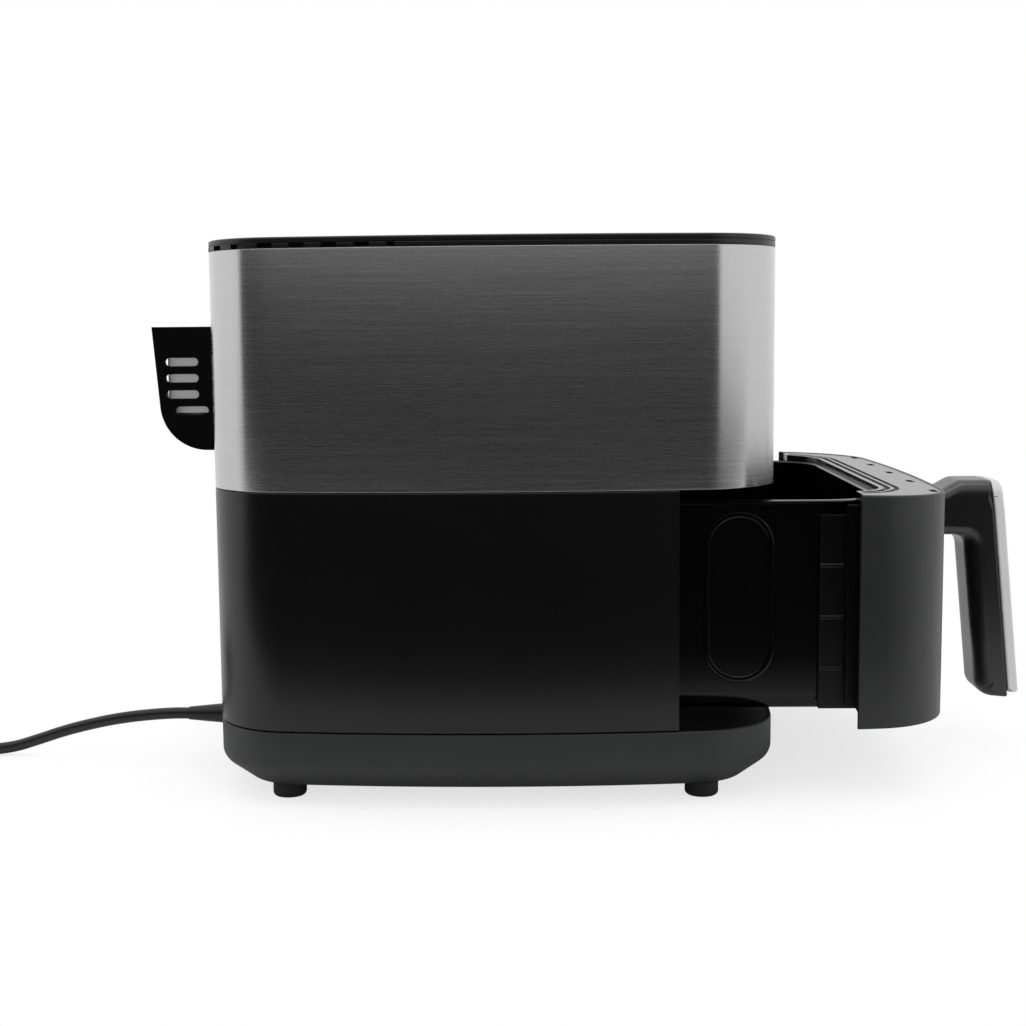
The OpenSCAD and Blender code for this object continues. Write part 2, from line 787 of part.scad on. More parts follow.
pad_t = 0.8;
module side_pad(y, z0, z1, w, t) {
  rotate([90, 0, 90]) linear_extrude(height = pan_w / 2 + t)
    round_rect(y - w / 2, y + w / 2, z0, z1, w / 2 - 0.01);
}
module pan_block(d, z0, z1) {
  translate([0, 0, z0]) linear_extrude(height = z1 - z0) pan_rect(-d);
}
pan_edge = 9;
module pan() {
  color(black) pulled() difference() {
    union() {
      pan_block(0, pan_floor_z + pan_edge, pan_top);
      hull() {
        pan_block(0, pan_floor_z + pan_edge, pan_floor_z + pan_edge + 0.1);
        pan_block(pan_edge * 0.3, pan_floor_z + pan_edge * 0.3, pan_floor_z + pan_edge * 0.3 + 0.1);
        pan_block(pan_edge, pan_floor_z, pan_floor_z + 0.1);
      }
      pan_block(-flange_w, flange_z, pan_top);
      for (side = [-1, 1]) mirror([side < 0 ? 1 : 0, 0, 0]) {
        side_pad(-47, pan_floor_z + 18, pan_top - 8, 36, pad_t);
        side_pad(18, pan_floor_z + 18, pan_top - 48, 60, pad_t);
      }
    }
    pan_block(pan_wall, pan_floor_z + pan_edge, pan_top + 1);
    hull() {
      pan_block(pan_wall, pan_floor_z + pan_edge, pan_floor_z + pan_edge + 0.1);
      pan_block(pan_edge, pan_floor_z + pan_wall, pan_floor_z + pan_wall + 0.1);
    }
  }
}

// ---- crisper tray ----
tray_gap = 2.5;
tray_leg = 11;
tray_z = pan_floor_z + pan_wall + tray_leg;
tray_t = 2;
hole_pitch = 20;
module crisper_tray() {
  inset = pan_wall + tray_gap;
  color(charcoal) pulled() {
    difference() {
      pan_block(inset, tray_z, tray_z + tray_t);
      for (x = [-4 : 4], y = [-4 : 4]) if (abs(x) + abs(y) > 0)
        translate([x * hole_pitch + (y % 2 == 0 ? 0 : hole_pitch / 4), y * hole_pitch - 2.5, tray_z - 1])
          cylinder(r = 4, h = tray_t + 2, $fn = 24);
    }
    translate([0, -2.5, tray_z + tray_t]) tube_ring(3, 6, 0, 3);
    translate([0, -2.5, tray_z + tray_t + 14]) rotate([90, 0, 0]) tube_ring(9, 12, -1.5, 1.5);
    for (x = [-1, 1], y = [-1, 1]) translate([x * (pan_w / 2 - 32), y * 92 - 2.5, 0])
      rod(3, tray_z - tray_leg + 0.6, tray_z);
  }
}
module tray_bumpers() {
  inset = pan_wall + tray_gap;
  color([0.15, 0.15, 0.16]) pulled() for (side = [-1, 1], y = [-70, 65])
    translate([side * (pan_w / 2 - inset), y, 0]) mirror([side < 0 ? 1 : 0, 0, 0]) difference() {
      span([-4, -6, tray_z - 2], [tray_gap - 0.4, 6, tray_z + tray_t + 2]);
      span([-5, -7, tray_z], [0, 7, tray_z + tray_t]);
    }
}

// ---- handle ----
// the profile stands in the YZ plane; g is the distance out from the drawer's face
neck_z = [lower_top - 46, lower_top - 16];
function grip_line(z, d) = -body_front - finger_gap - d
  - grip_lean * (handle_top_z - z) / (handle_top_z - handle_bottom_z);
cover_t = 6;
cover_line = 0.6;
top_r = 8;
foot_round = 12;
module grip_shape(d0, d1) {
  polygon([[grip_line(handle_top_z - top_r, d0), handle_top_z - top_r],
    [grip_line(handle_bottom_z + foot_round, d0), handle_bottom_z + foot_round],
    [grip_line(handle_bottom_z + foot_round, d1), handle_bottom_z + foot_round],
    [grip_line(handle_top_z - top_r, d1), handle_top_z - top_r]]);
}
module handle_shape() {
  grip_shape(0, grip_t);
  for (d = [foot_round, grip_t - foot_round]) translate([grip_line(handle_bottom_z + foot_round, d),
    handle_bottom_z + foot_round]) circle(r = foot_round, $fn = 64);
  translate([grip_line(handle_bottom_z, grip_t - foot_round), handle_bottom_z])
    square([grip_t - 2 * foot_round, foot_round]);
  for (d = [top_r, grip_t - top_r]) translate([grip_line(handle_top_z - top_r, d),
    handle_top_z - top_r]) circle(r = top_r, $fn = 64);
  translate([grip_line(handle_top_z, grip_t - top_r), handle_top_z - top_r - 1])
    square([grip_t - 2 * top_r, top_r + 1]);
}
module neck_shape() {
  translate([-body_front - finger_gap - 8, neck_z[0]])
    square([finger_gap + 8, neck_z[1] - neck_z[0]]);
}
// outer skin of the grip, from its top round down to its lower round
module cover_zone(d) {
  grip_shape(grip_t - cover_t - d, grip_t + 20);
  translate([grip_line(handle_top_z, grip_t + 20), handle_top_z - top_r])
    square([cover_t + d + 20, 40]);
  translate([grip_line(handle_bottom_z + foot_round, grip_t + 20), handle_bottom_z + 3])
    square([cover_t + d + 20, foot_round]);
}
// snap pins of the cover, which stand in blind holes of the grip
pin_r = 3;
module cover_pins(r, length) {
  for (z = [handle_bottom_z + 40, handle_top_z - 50])
    translate([0, grip_line(z, grip_t - cover_t) - 0.5, z])
      rotate([-90, 0, 0]) cylinder(r = r, h = length + 0.5, $fn = 32);
}
module across(w) {
  translate([-w / 2, 0, 0]) rotate([90, 0, 90]) linear_extrude(height = w) children();
}
module at_handle_screws() {
  for (z = [neck_z[0] + 7, neck_z[1] - 7]) translate([0, -body_front, z])
    rotate([90, 0, 0]) children();
}
module handle_body() {
  color(black) pulled() difference() {
    union() {
      across(handle_w) difference() {
        handle_shape();
        cover_zone(cover_line);
      }
      across(handle_w - 8) difference() {
        neck_shape();
        cover_zone(cover_line);
      }
    }
    slab(0, 0, big);
    at_handle_screws() rod(2, -10, 18);
    cover_pins(pin_r + fit_gap, 5);
  }
}
module handle_cover() {
  color(silver) pulled() {
    across(handle_w) intersection() {
      handle_shape();
      cover_zone(0);
    }
    cover_pins(pin_r, 4);
  }
}
module handle_screws() {
  color(zinc) pulled() at_handle_screws() {
    rod(1.9, -wall - 2.5, 16);
    rod(4, -wall - 5, -wall - 2.5);
  }
}

// ---- mains cord ----
// the route's own points, from the gland to where the coil begins
coil_mid = [-6, 376];
coil_r = 36.5;
coil_turns_h = 28;
cord_r = cord_d / 2;
cord_points = [[-57, 184, 30], [-56, 194, 29.7], [-54, 208, 28.4], [-52, 227, 25.8],
  [-49, 247, 21.4], [-46, 266, 16], [-43.8, 283, 10.2], [-42.6, 299, 5.4], [-42.5, 316, 3.6],
  [-42.5, 336, 3.6], [-42.5, 356, 3.6], [-42.5, 376, 3.6]];
tail_points = [[-6, 412.5, 24.6], [6, 412.5, 24.2], [18, 412.5, 21], [30, 412.5, 16.5],
  [40, 412.5, 13.5], [50, 412.5, 12.5]];
gland_len = 22;

function unit(v) = v / norm(v);
function run_dir(p, i) = unit(p[min(i + 1, len(p) - 1)] - p[max(i - 1, 0)]);
module swept_tube(p, r, sides) {
  n = len(p);
  rings = [for (i = [0 : n - 1])
    let (t = run_dir(p, i), s = unit(cross(t, [0, 0, 1])), u = cross(s, t))
    for (k = [0 : sides - 1]) p[i] + r * (cos(360 * k / sides) * s + sin(360 * k / sides) * u)];
  walls = [for (i = [0 : n - 2], k = [0 : sides - 1])
    let (a = i * sides + k, b = i * sides + (k + 1) % sides) [a, b, b + sides, a + sides]];
  ends = [[for (k = [sides - 1 : -1 : 0]) k], [for (k = [0 : sides - 1]) (n - 1) * sides + k]];
  polyhedron(points = rings, faces = concat(walls, ends), convexity = 6);
}
module cord_gland() {
  face = face_at(cord_exit[0], body_back, back_bow, 0);
  color(black) fixed() {
    at_exit() rod(gland_r - fit_gap / 2, face - 8, face + 0.5);
    difference() {
      at_exit() translate([0, 0, face - 1])
        cylinder(r1 = gland_r + 0.8, r2 = cord_r + 0.5, h = cord_points[0][1] - face + 1, $fn = 48);
      slab(-0.02, 0, base_top + 10);
    }
  }
}
module power_cord() { color(black) fixed() swept_tube(cord_points, cord_r, 8); }
module cord_tail() { color(black) fixed() swept_tube(tail_points, cord_r, 8); }
module cord_coil() {
  color(black) fixed() translate([coil_mid[0], coil_mid[1], 1.2])
    tube_ring(coil_r - cord_r - 0.5, coil_r + cord_r + 0.5, 0, coil_turns_h);
}
module cord_tie() {
  x0 = coil_r - cord_r - 0.5;
  x1 = coil_r + cord_r + 0.5;
  color([0.2, 0.2, 0.2]) fixed() translate([coil_mid[0], coil_mid[1], 0]) rotate(-50) difference() {
    span([x0 - 1, -5, 0], [x1 + 1, 5, coil_turns_h + 2.4]);
    span([x0 - 0.2, -6, 1.2], [x1, 6, coil_turns_h + 1.2]);
  }
}
plug_y = 412.5;
plug_x = [50, 88];
module plug_body() {
  color(black) fixed() {
    span([plug_x[0] + 12, plug_y - 13, 0], [plug_x[1], plug_y + 13, 25]);
    translate([plug_x[0], plug_y, 12.5]) rotate([0, 90, 0]) cylinder(r1 = 5, r2 = 10, h = 12, $fn = 48);
  }
}
module plug_pins() {
  color(silver) fixed() {
    for (y = [-6.35, 6.35]) span([plug_x[1], plug_y + y - 0.75, 5.5], [plug_x[1] + 17, plug_y + y + 0.75, 11.9]);
    translate([plug_x[1], plug_y, 19]) rotate([0, 90, 0]) cylinder(r = 2.4, h = 20, $fn = 32);
  }
}

base();
base_skirt();
bottom_plate();
rubber_feet();
base_screws();
lower_shell();
cavity_frame();
cavity_liner();
slide_rails();
upper_chassis();
steel_wrap();
top_cover();
exhaust_vent();
exhaust_duct();
control_panel();
panel_frame();
display_board();
heater_housing();
insulation_ring();
heating_element();
element_clips();
heater_guard();
ntc_sensor();
thermal_fuse();
motor_bracket();
motor_screws();
fan_motor();
shaft_bushes();
fan_shaft();
circulation_fan();
fan_nut();
cooling_fan();
power_board();
board_posts();
terminal_block();
wiring_loom();
micro_switch();
switch_plunger();
drawer_front();
drawer_cap();
drawer_inner_panel();
side_brackets();
bracket_screws();
pan();
crisper_tray();
tray_bumpers();
handle_body();
handle_cover();
handle_screws();
cord_gland();
power_cord();
cord_coil();
cord_tail();
cord_tie();
plug_body();
plug_pins();
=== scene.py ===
import math
import bmesh
import bpy
import numpy as np
from mathutils import Matrix, Vector
from mathutils.geometry import tessellate_polygon


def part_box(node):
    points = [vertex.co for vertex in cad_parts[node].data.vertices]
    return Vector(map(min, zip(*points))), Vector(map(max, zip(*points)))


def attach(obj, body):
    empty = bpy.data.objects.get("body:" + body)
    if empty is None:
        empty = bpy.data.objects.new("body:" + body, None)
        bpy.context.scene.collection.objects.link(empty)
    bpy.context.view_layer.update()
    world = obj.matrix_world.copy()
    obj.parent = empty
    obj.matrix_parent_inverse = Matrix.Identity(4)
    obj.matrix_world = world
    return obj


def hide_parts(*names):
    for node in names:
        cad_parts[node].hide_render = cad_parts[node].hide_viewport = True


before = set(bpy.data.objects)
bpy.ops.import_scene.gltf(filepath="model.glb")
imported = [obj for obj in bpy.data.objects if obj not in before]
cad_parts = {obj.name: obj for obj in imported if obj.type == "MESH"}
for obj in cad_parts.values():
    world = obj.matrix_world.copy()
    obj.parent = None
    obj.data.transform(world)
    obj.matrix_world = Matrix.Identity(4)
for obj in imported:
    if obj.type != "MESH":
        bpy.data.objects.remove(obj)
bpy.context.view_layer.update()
mm = 0.001


# sRGB hex to the linear colour that a shader socket takes
def hexColor(code, alpha=1.0):
    parts = [int(code[i:i + 2], 16) / 255 for i in (1, 3, 5)]
    linear = [p / 12.92 if p <= 0.04045 else ((p + 0.055) / 1.055) ** 2.4 for p in parts]
    return (*linear, alpha)


def addNode(tree, kind, settings=None, inputs=None, links=None):
    node = tree.nodes.new(kind)
    for key, value in (settings or {}).items():
        setattr(node, key, value)
    for key, value in (inputs or {}).items():
        node.inputs[key].default_value = value
    for key, socket in (links or {}).items():
        tree.links.new(socket, node.inputs[key])
    return node


# merges doubled points and turns every face outwards
def fixNormals(piece):
    bm = bmesh.new()
    bm.from_mesh(piece.data)
    bmesh.ops.remove_doubles(bm, verts=bm.verts, dist=0.000001)
    bmesh.ops.recalc_face_normals(bm, faces=bm.faces)
    bm.to_mesh(piece.data)
    bm.free()


# numpy vertices and faces to an object that rides on a body
def addPiece(name, verts, faces, material, body, smooth=40):
    mesh = bpy.data.meshes.new(name)
    mesh.from_pydata(np.asarray(verts, float).tolist(), [], [list(map(int, f)) for f in faces])
    mesh.validate()
    mesh.update()
    piece = bpy.data.objects.new(name, mesh)
    bpy.context.scene.collection.objects.link(piece)
    mesh.materials.append(material)
    shadeByAngle(piece, smooth)
    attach(piece, body)
    fixNormals(piece)
    return piece


def shadeByAngle(piece, degrees):
    mesh = piece.data
    mesh.shade_smooth()
    mesh.set_sharp_from_angle(angle=math.radians(degrees))


def bevel(piece, width, segments=2, angle=35):
    mod = piece.modifiers.new("Bevel", "BEVEL")
    mod.width = width
    mod.segments = segments
    mod.limit_method = "ANGLE"
    mod.angle_limit = math.radians(angle)
    mod.harden_normals = True
    return piece


# quads of a grid of rows x cols points; closed joins the last row or column to the first
def gridFaces(rows, cols, closedRows=False, closedCols=False, start=0):
    r = np.arange(rows if closedRows else rows - 1)
    c = np.arange(cols if closedCols else cols - 1)
    rr, cc = np.meshgrid(r, c, indexing="ij")
    rn, cn = (rr + 1) % rows, (cc + 1) % cols
    quads = np.stack([rr * cols + cc, rr * cols + cn, rn * cols + cn, rn * cols + cc], -1)
    return (quads.reshape(-1, 4) + start).tolist()


def startMaterial(name):
    mat = bpy.data.materials.new(name)
    mat.use_nodes = True
    return mat, mat.node_tree, mat.node_tree.nodes["Principled BSDF"]


# a copy of a CAD node with its flat faces joined and its edges rounded
def softened(node, material, body, width=0.4 * mm, segments=2, angle=35):
    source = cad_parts[node]
    mesh = source.data.copy()
    mesh.materials.clear()
    piece = bpy.data.objects.new(node + "_finished", mesh)
    bpy.context.scene.collection.objects.link(piece)
    bm = bmesh.new()
    bm.from_mesh(mesh)
    bmesh.ops.remove_doubles(bm, verts=bm.verts, dist=0.00001)
    bmesh.ops.dissolve_limit(bm, angle_limit=math.radians(1.0), verts=bm.verts, edges=bm.edges)
    bm.to_mesh(mesh)
    bm.free()
    mesh.materials.append(material)
    shadeByAngle(piece, 32)
    bevel(piece, width, segments, angle)
    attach(piece, body)
    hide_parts(node)
    return piece


camera = {
    "place": (-1.0006, 0.02715, 0.2606),
    "yaw": 0.0247,
    "pitch": 0.1141,
    "roll": -0.0089,
    "lens": 55.32,
}


def makeCamera():
    y, p, r = camera["yaw"], camera["pitch"], camera["roll"]
    forward = Vector((math.cos(p) * math.cos(y), math.cos(p) * math.sin(y), -math.sin(p)))
    side = Vector((math.sin(y), -math.cos(y), 0))
    up = side.cross(forward)
    right = side * math.cos(r) + up * math.sin(r)
    top = up * math.cos(r) - side * math.sin(r)
    data = bpy.data.cameras.new("camera")
    data.lens = camera["lens"]
    data.sensor_width = 36
    data.clip_start = 0.01
    obj = bpy.data.objects.new("camera", data)
    bpy.context.scene.collection.objects.link(obj)
    turn = Matrix((right, top, -forward)).transposed().to_4x4()
    obj.matrix_world = Matrix.Translation(camera["place"]) @ turn
    bpy.context.scene.camera = obj


makeCamera()
print("camera placed")

studio = {
    "tent": 0.95,
    "flagRadius": 1.7,
    "flagTop": 1.15,
    "flagFront": 36,
    "flagRear": 69,
    "floorFlag": (0.31, 1.75),
    "floorFlagY": (-1.3, 1.5),
    "flagLift": 0.002,
    "floorHalf": 9.0,
    "topPower": 9,
    "topSize": 1.6,
    "topHeight": 2.2,
}


def stagePiece(name, verts, faces, material, seen=True):
    mesh = bpy.data.meshes.new(name)
    mesh.from_pydata(np.asarray(verts, float).tolist(), [], faces)
    obj = bpy.data.objects.new(name, mesh)
    bpy.context.scene.collection.objects.link(obj)
    mesh.materials.append(material)
    if not seen:
        obj.visible_camera = False
        obj.visible_shadow = False
        obj.visible_diffuse = False


def matt(name, color):
    mat, tree, shader = startMaterial(name)
    shader.inputs["Base Color"].default_value = hexColor(color)
    shader.inputs["Roughness"].default_value = 1.0
    shader.inputs["Specular IOR Level"].default_value = 0.0
    return mat, tree, shader


# a white tent with a black flag on the camera's side, as a studio darkens a steel side:
# the flag is an upright arc round the object, and a flat one lies on the floor before it
def makeStage():
    scene = bpy.context.scene
    world = bpy.data.worlds.new("tent")
    scene.world = world
    world.use_nodes = True
    tree = world.node_tree
    back = tree.nodes["Background"]
    back.inputs["Color"].default_value = hexColor("#FFFFFF")
    rays = addNode(tree, "ShaderNodeLightPath")
    power = addNode(tree, "ShaderNodeMapRange", inputs={"To Min": studio["tent"], "To Max": 1.0},
                    links={"Value": rays.outputs["Is Camera Ray"]})
    tree.links.new(power.outputs["Result"], back.inputs["Strength"])
    scene.view_settings.view_transform = "Standard"

    # white sweep: it lights like matt card; to the camera it glows pure white, with a soft painted contact
    # shadow where ambient occlusion dims the glow near the object
    card, tree, shader = matt("whiteSweep", "#EDEDED")
    # painted contact shadow: occlusion near the object lowers the strength of the glow the camera sees
    shade = addNode(tree, "ShaderNodeAmbientOcclusion", {"samples": 8}, {"Distance": 0.12})
    soft = addNode(tree, "ShaderNodeMapRange", inputs={"From Max": 0.75, "To Min": 0.72},
                   links={"Value": shade.outputs["AO"]})
    glowWithPaintedShadow = addNode(tree, "ShaderNodeEmission", links={"Strength": soft.outputs["Result"]})
    rays = addNode(tree, "ShaderNodeLightPath")
    both = addNode(tree, "ShaderNodeMixShader", links={"Fac": rays.outputs["Is Camera Ray"]})
    tree.links.new(shader.outputs["BSDF"], both.inputs[1])
    tree.links.new(glowWithPaintedShadow.outputs["Emission"], both.inputs[2])
    tree.links.new(both.outputs["Shader"], tree.nodes["Material Output"].inputs["Surface"])
    s = studio["floorHalf"]
    stagePiece("floor", [(-s, -s, 0), (s, -s, 0), (s, s, 0), (-s, s, 0)], [(0, 1, 2, 3)], card)

    flag = matt("blackFlag", "#262626")[0]
    count, lift = 40, studio["flagLift"]
    a = np.radians(np.linspace(-studio["flagFront"], studio["flagRear"], count))
    x, y = -studio["flagRadius"] * np.cos(a), studio["flagRadius"] * np.sin(a)
    low = np.column_stack([x, y, np.full(count, lift)])
    high = np.column_stack([x, y, np.full(count, studio["flagTop"])])
    stagePiece("flagWall", np.vstack([low, high]), gridFaces(2, count), flag, seen=False)
    near, far = studio["floorFlag"]
    y0, y1 = studio["floorFlagY"]
    flat = [(-near, y0, lift), (-far, y0, lift), (-far, y1, lift), (-near, y1, lift)]
    stagePiece("flagFloor", flat, [(0, 1, 2, 3)], flag, seen=False)

    data = bpy.data.lights.new("topSoft", "AREA")
    data.size = studio["topSize"]
    data.energy = studio["topPower"]
    lamp = bpy.data.objects.new("topSoft", data)
    scene.collection.objects.link(lamp)
    lamp.location = (0.0, 0.0, studio["topHeight"])


makeStage()
print("stage lit")


# moulded thermoplastic: an even colour, faint flow mottling and a fine spark-eroded grain
def mouldedPlastic(name, color, roughness, grain=0.35, bump=0.12, coat=0.0, ior=1.5):
    mat, tree, shader = startMaterial(name)
    place = addNode(tree, "ShaderNodeTexCoord").outputs["Object"]
    # grain size in mm becomes a noise scale per metre
    fine = addNode(tree, "ShaderNodeTexNoise", inputs={"Scale": 1 / (grain * mm), "Detail": 3.0},
                   links={"Vector": place})
    wide = addNode(tree, "ShaderNodeTexNoise", inputs={"Scale": 1 / (60 * mm), "Detail": 2.0},
                   links={"Vector": place})
    dark = hexColor(color)
    light = tuple(min(1, c * 1.25 + 0.001) for c in dark[:3]) + (1,)
    mix = addNode(tree, "ShaderNodeMix", {"data_type": "RGBA"}, links={"Factor": wide.outputs["Fac"]})
    mix.inputs["A"].default_value = dark
    mix.inputs["B"].default_value = light
    limits = {"To Min": roughness * 0.88, "To Max": roughness * 1.12}
    rough = addNode(tree, "ShaderNodeMapRange", inputs=limits, links={"Value": fine.outputs["Fac"]})
    relief = addNode(tree, "ShaderNodeBump", inputs={"Strength": bump, "Distance": 0.05 * mm},
                     links={"Height": fine.outputs["Fac"]})
    tree.links.new(mix.outputs["Result"], shader.inputs["Base Color"])
    tree.links.new(rough.outputs["Result"], shader.inputs["Roughness"])
    tree.links.new(relief.outputs["Normal"], shader.inputs["Normal"])
    shader.inputs["IOR"].default_value = ior
    shader.inputs["Coat Weight"].default_value = coat
    return mat


# stainless sheet, brushed along the horizontal: long fine scratches that spread highlights upright
def brushedSteel(name, color, roughness=0.3, lineHeight=0.35, along=45.0, anisotropy=0.55):
    mat, tree, shader = startMaterial(name)
    place = addNode(tree, "ShaderNodeTexCoord").outputs["Object"]
    stretch = (1 / (along * mm), 1 / (along * mm), 1 / (lineHeight * mm))
    mapping = addNode(tree, "ShaderNodeMapping", inputs={"Scale": stretch}, links={"Vector": place})
    lines = addNode(tree, "ShaderNodeTexNoise", inputs={"Scale": 1.0, "Detail": 4.0, "Roughness": 0.6},
                    links={"Vector": mapping.outputs["Vector"]})
    base = hexColor(color)
    darker = tuple(c * 0.88 for c in base[:3]) + (1,)
    mix = addNode(tree, "ShaderNodeMix", {"data_type": "RGBA"}, links={"Factor": lines.outputs["Fac"]})
    mix.inputs["A"].default_value = darker
    mix.inputs["B"].default_value = tuple(min(1, c * 1.12) for c in base[:3]) + (1,)
    limits = {"To Min": roughness * 0.8, "To Max": roughness * 1.25}
    rough = addNode(tree, "ShaderNodeMapRange", inputs=limits, links={"Value": lines.outputs["Fac"]})
    relief = addNode(tree, "ShaderNodeBump", inputs={"Strength": 0.06, "Distance": 0.03 * mm},
                     links={"Height": lines.outputs["Fac"]})
    tree.links.new(mix.outputs["Result"], shader.inputs["Base Color"])
    tree.links.new(rough.outputs["Result"], shader.inputs["Roughness"])
    tree.links.new(relief.outputs["Normal"], shader.inputs["Normal"])
    shader.inputs["Metallic"].default_value = 1.0
    # the brushing runs round the upright axis, so a quarter turn spreads the light upright
    around = addNode(tree, "ShaderNodeTangent", {"direction_type": "RADIAL", "axis": "Z"})
    tree.links.new(around.outputs["Tangent"], shader.inputs["Tangent"])
    shader.inputs["Anisotropic"].default_value = anisotropy
    shader.inputs["Anisotropic Rotation"].default_value = 0.25
    return mat


# plain worked metal: zinc plate, bare steel, bronze; mottled gloss with a little texture
def workedMetal(name, color, roughness, spangle=6.0, contrast=0.15):
    mat, tree, shader = startMaterial(name)
    place = addNode(tree, "ShaderNodeTexCoord").outputs["Object"]
    cells = addNode(tree, "ShaderNodeTexVoronoi", inputs={"Scale": 1 / (spangle * mm)},
                    links={"Vector": place})
    fine = addNode(tree, "ShaderNodeTexNoise", inputs={"Scale": 1 / (0.5 * mm), "Detail": 2.0},
                   links={"Vector": place})
    base = hexColor(color)
    mix = addNode(tree, "ShaderNodeMix", {"data_type": "RGBA"}, links={"Factor": cells.outputs["Distance"]})
    mix.inputs["A"].default_value = base
    mix.inputs["B"].default_value = tuple(c * (1 - contrast) for c in base[:3]) + (1,)
    limits = {"To Min": roughness * 0.8, "To Max": roughness * 1.2}
    rough = addNode(tree, "ShaderNodeMapRange", inputs=limits, links={"Value": cells.outputs["Distance"]})
    relief = addNode(tree, "ShaderNodeBump", inputs={"Strength": 0.08, "Distance": 0.03 * mm},
                     links={"Height": fine.outputs["Fac"]})
    tree.links.new(mix.outputs["Result"], shader.inputs["Base Color"])
    tree.links.new(rough.outputs["Result"], shader.inputs["Roughness"])
    tree.links.new(relief.outputs["Normal"], shader.inputs["Normal"])
    shader.inputs["Metallic"].default_value = 1.0
    return mat


# mineral wool and braided sleeve: matt tangled fibre
def fibrous(name, color, strand=0.6):
    mat, tree, shader = startMaterial(name)
    place = addNode(tree, "ShaderNodeTexCoord").outputs["Object"]
    weave = {"Scale": 1 / (strand * mm), "Detail": 5.0, "Distortion": 1.5}
    tangle = addNode(tree, "ShaderNodeTexNoise", inputs=weave, links={"Vector": place})
    base = hexColor(color)
    mix = addNode(tree, "ShaderNodeMix", {"data_type": "RGBA"}, links={"Factor": tangle.outputs["Fac"]})
    mix.inputs["A"].default_value = tuple(c * 0.55 for c in base[:3]) + (1,)
    mix.inputs["B"].default_value = base
    relief = addNode(tree, "ShaderNodeBump", inputs={"Strength": 0.5, "Distance": 0.4 * mm},
                     links={"Height": tangle.outputs["Fac"]})
    tree.links.new(mix.outputs["Result"], shader.inputs["Base Color"])
    tree.links.new(relief.outputs["Normal"], shader.inputs["Normal"])
    shader.inputs["Roughness"].default_value = 0.95
    shader.inputs["Sheen Weight"].default_value = 0.3
    return mat


# ABS of the base and the drawer: satin, so a wide soft sheen on its rounds
charcoalAbs = mouldedPlastic("charcoalAbs", "#222324", 0.5)
drawerGrey = mouldedPlastic("drawerGrey", "#1B1C1D", 0.42)
# darker ABS of the lower shell, lid, cap and outlet: nearly black, a clearer reflection
blackAbs = mouldedPlastic("blackAbs", "#060607", 0.3)
coverBlack = mouldedPlastic("coverBlack", "#101011", 0.34)
capBlack = mouldedPlastic("capBlack", "#0F0F10", 0.22, bump=0.05, ior=1.75)
innerBlack = mouldedPlastic("innerBlack", "#030303", 0.35)
ventBlack = mouldedPlastic("ventBlack", "#030304", 0.3)
# soft-touch lacquer of the handle: black from the side, pale at a grazing angle
handleBlack = mouldedPlastic("handleBlack", "#0A0A0B", 0.3, ior=1.7)
# rubber and PVC: matt and a little dusty, the cord's sheath glossier
footRubber = mouldedPlastic("footRubber", "#141414", 0.7, grain=0.5, bump=0.2)
cordPvc = mouldedPlastic("cordPvc", "#141415", 0.38, grain=0.4, bump=0.08)
siliconeGrey = mouldedPlastic("siliconeGrey", "#2A2A2B", 0.6)
# nylon and board: plain inner parts
whitePa = mouldedPlastic("whitePa", "#DAD8D0", 0.5)
boardEpoxy = mouldedPlastic("boardEpoxy", "#1E5A34", 0.3, grain=0.8)
# polished acrylic with printed marks: a mirror-like dark panel
panelAcrylic = mouldedPlastic("panelAcrylic", "#0A0A0C", 0.06, grain=2.0, bump=0.0, coat=0.6)
printGrey = mouldedPlastic("printGrey", "#8E9092", 0.4)
# PTFE coating: deep black with a tight low highlight
nonstickBlack = mouldedPlastic("nonstickBlack", "#020202", 0.2, grain=0.6, bump=0.05, ior=1.38)
# pale enamel of the deflector and silver paint of the handle's cover: even and matt
paleEnamel = mouldedPlastic("paleEnamel", "#E4E4E4", 0.7, grain=0.6, bump=0.05)
silverTrim = mouldedPlastic("silverTrim", "#CBCBCB", 0.4, bump=0.04)
# brushed stainless sheet: sharp sideways, drawn out upright
stainless = brushedSteel("stainless", "#C6C6C6", roughness=0.26, lineHeight=0.3, along=90.0,
                         anisotropy=0.85)
# zinc and bare metals inside: grey with faint spangle or tool marks
galvanised = workedMetal("galvanised", "#9A9CA0", 0.38, spangle=9.0)
zincPlate = workedMetal("zincPlate", "#C4C6CA", 0.25, spangle=2.0)
bareSteel = workedMetal("bareSteel", "#9C9DA0", 0.32, spangle=4.0)
brightWire = workedMetal("brightWire", "#B9BBBF", 0.22, spangle=3.0)
sinteredBronze = workedMetal("sinteredBronze", "#9A6A3C", 0.45, spangle=0.8)
sheathSteel = workedMetal("sheathSteel", "#4A4642", 0.5, spangle=5.0, contrast=0.4)
# wool and glass sleeve: matt tangled strands
mineralWool = fibrous("mineralWool", "#D9CFB4")
glassSleeve = fibrous("glassSleeve", "#C9BE9C", strand=0.3)
print("materials made")


outlineSizes = {
    "sideBow": 1.030,
    "backBow": 0.570,
    "frontBow": 1.600,
    "corner": 0.048,
}
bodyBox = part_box("steel_wrap")
frontY, backY = bodyBox[0].y, bodyBox[1].y
halfW = bodyBox[1].x
# the middle of the body: the point where its sides are widest
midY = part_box("fan_shaft")[0].y * 0.5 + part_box("fan_shaft")[1].y * 0.5
bodyBack = backY - midY
bodyFront = midY - frontY


# centre of a corner circle that touches a side bow and an end bow from inside: both bows
# shrunk by the corner radius, cut with each other
def cornerCentre(end, bow):
    side, r = outlineSizes["sideBow"], outlineSizes["corner"]
    a = np.array([halfW - side, 0.0])
    b = np.array([0.0, end - bow])
    d = np.linalg.norm(b - a)
    ra, rb = side - r, bow - r
    t = (ra * ra - rb * rb + d * d) / (2 * d)
    h = math.sqrt(ra * ra - t * t)
    u = (b - a) / d
    return a + u * t + np.array([-u[1], u[0]]) * h


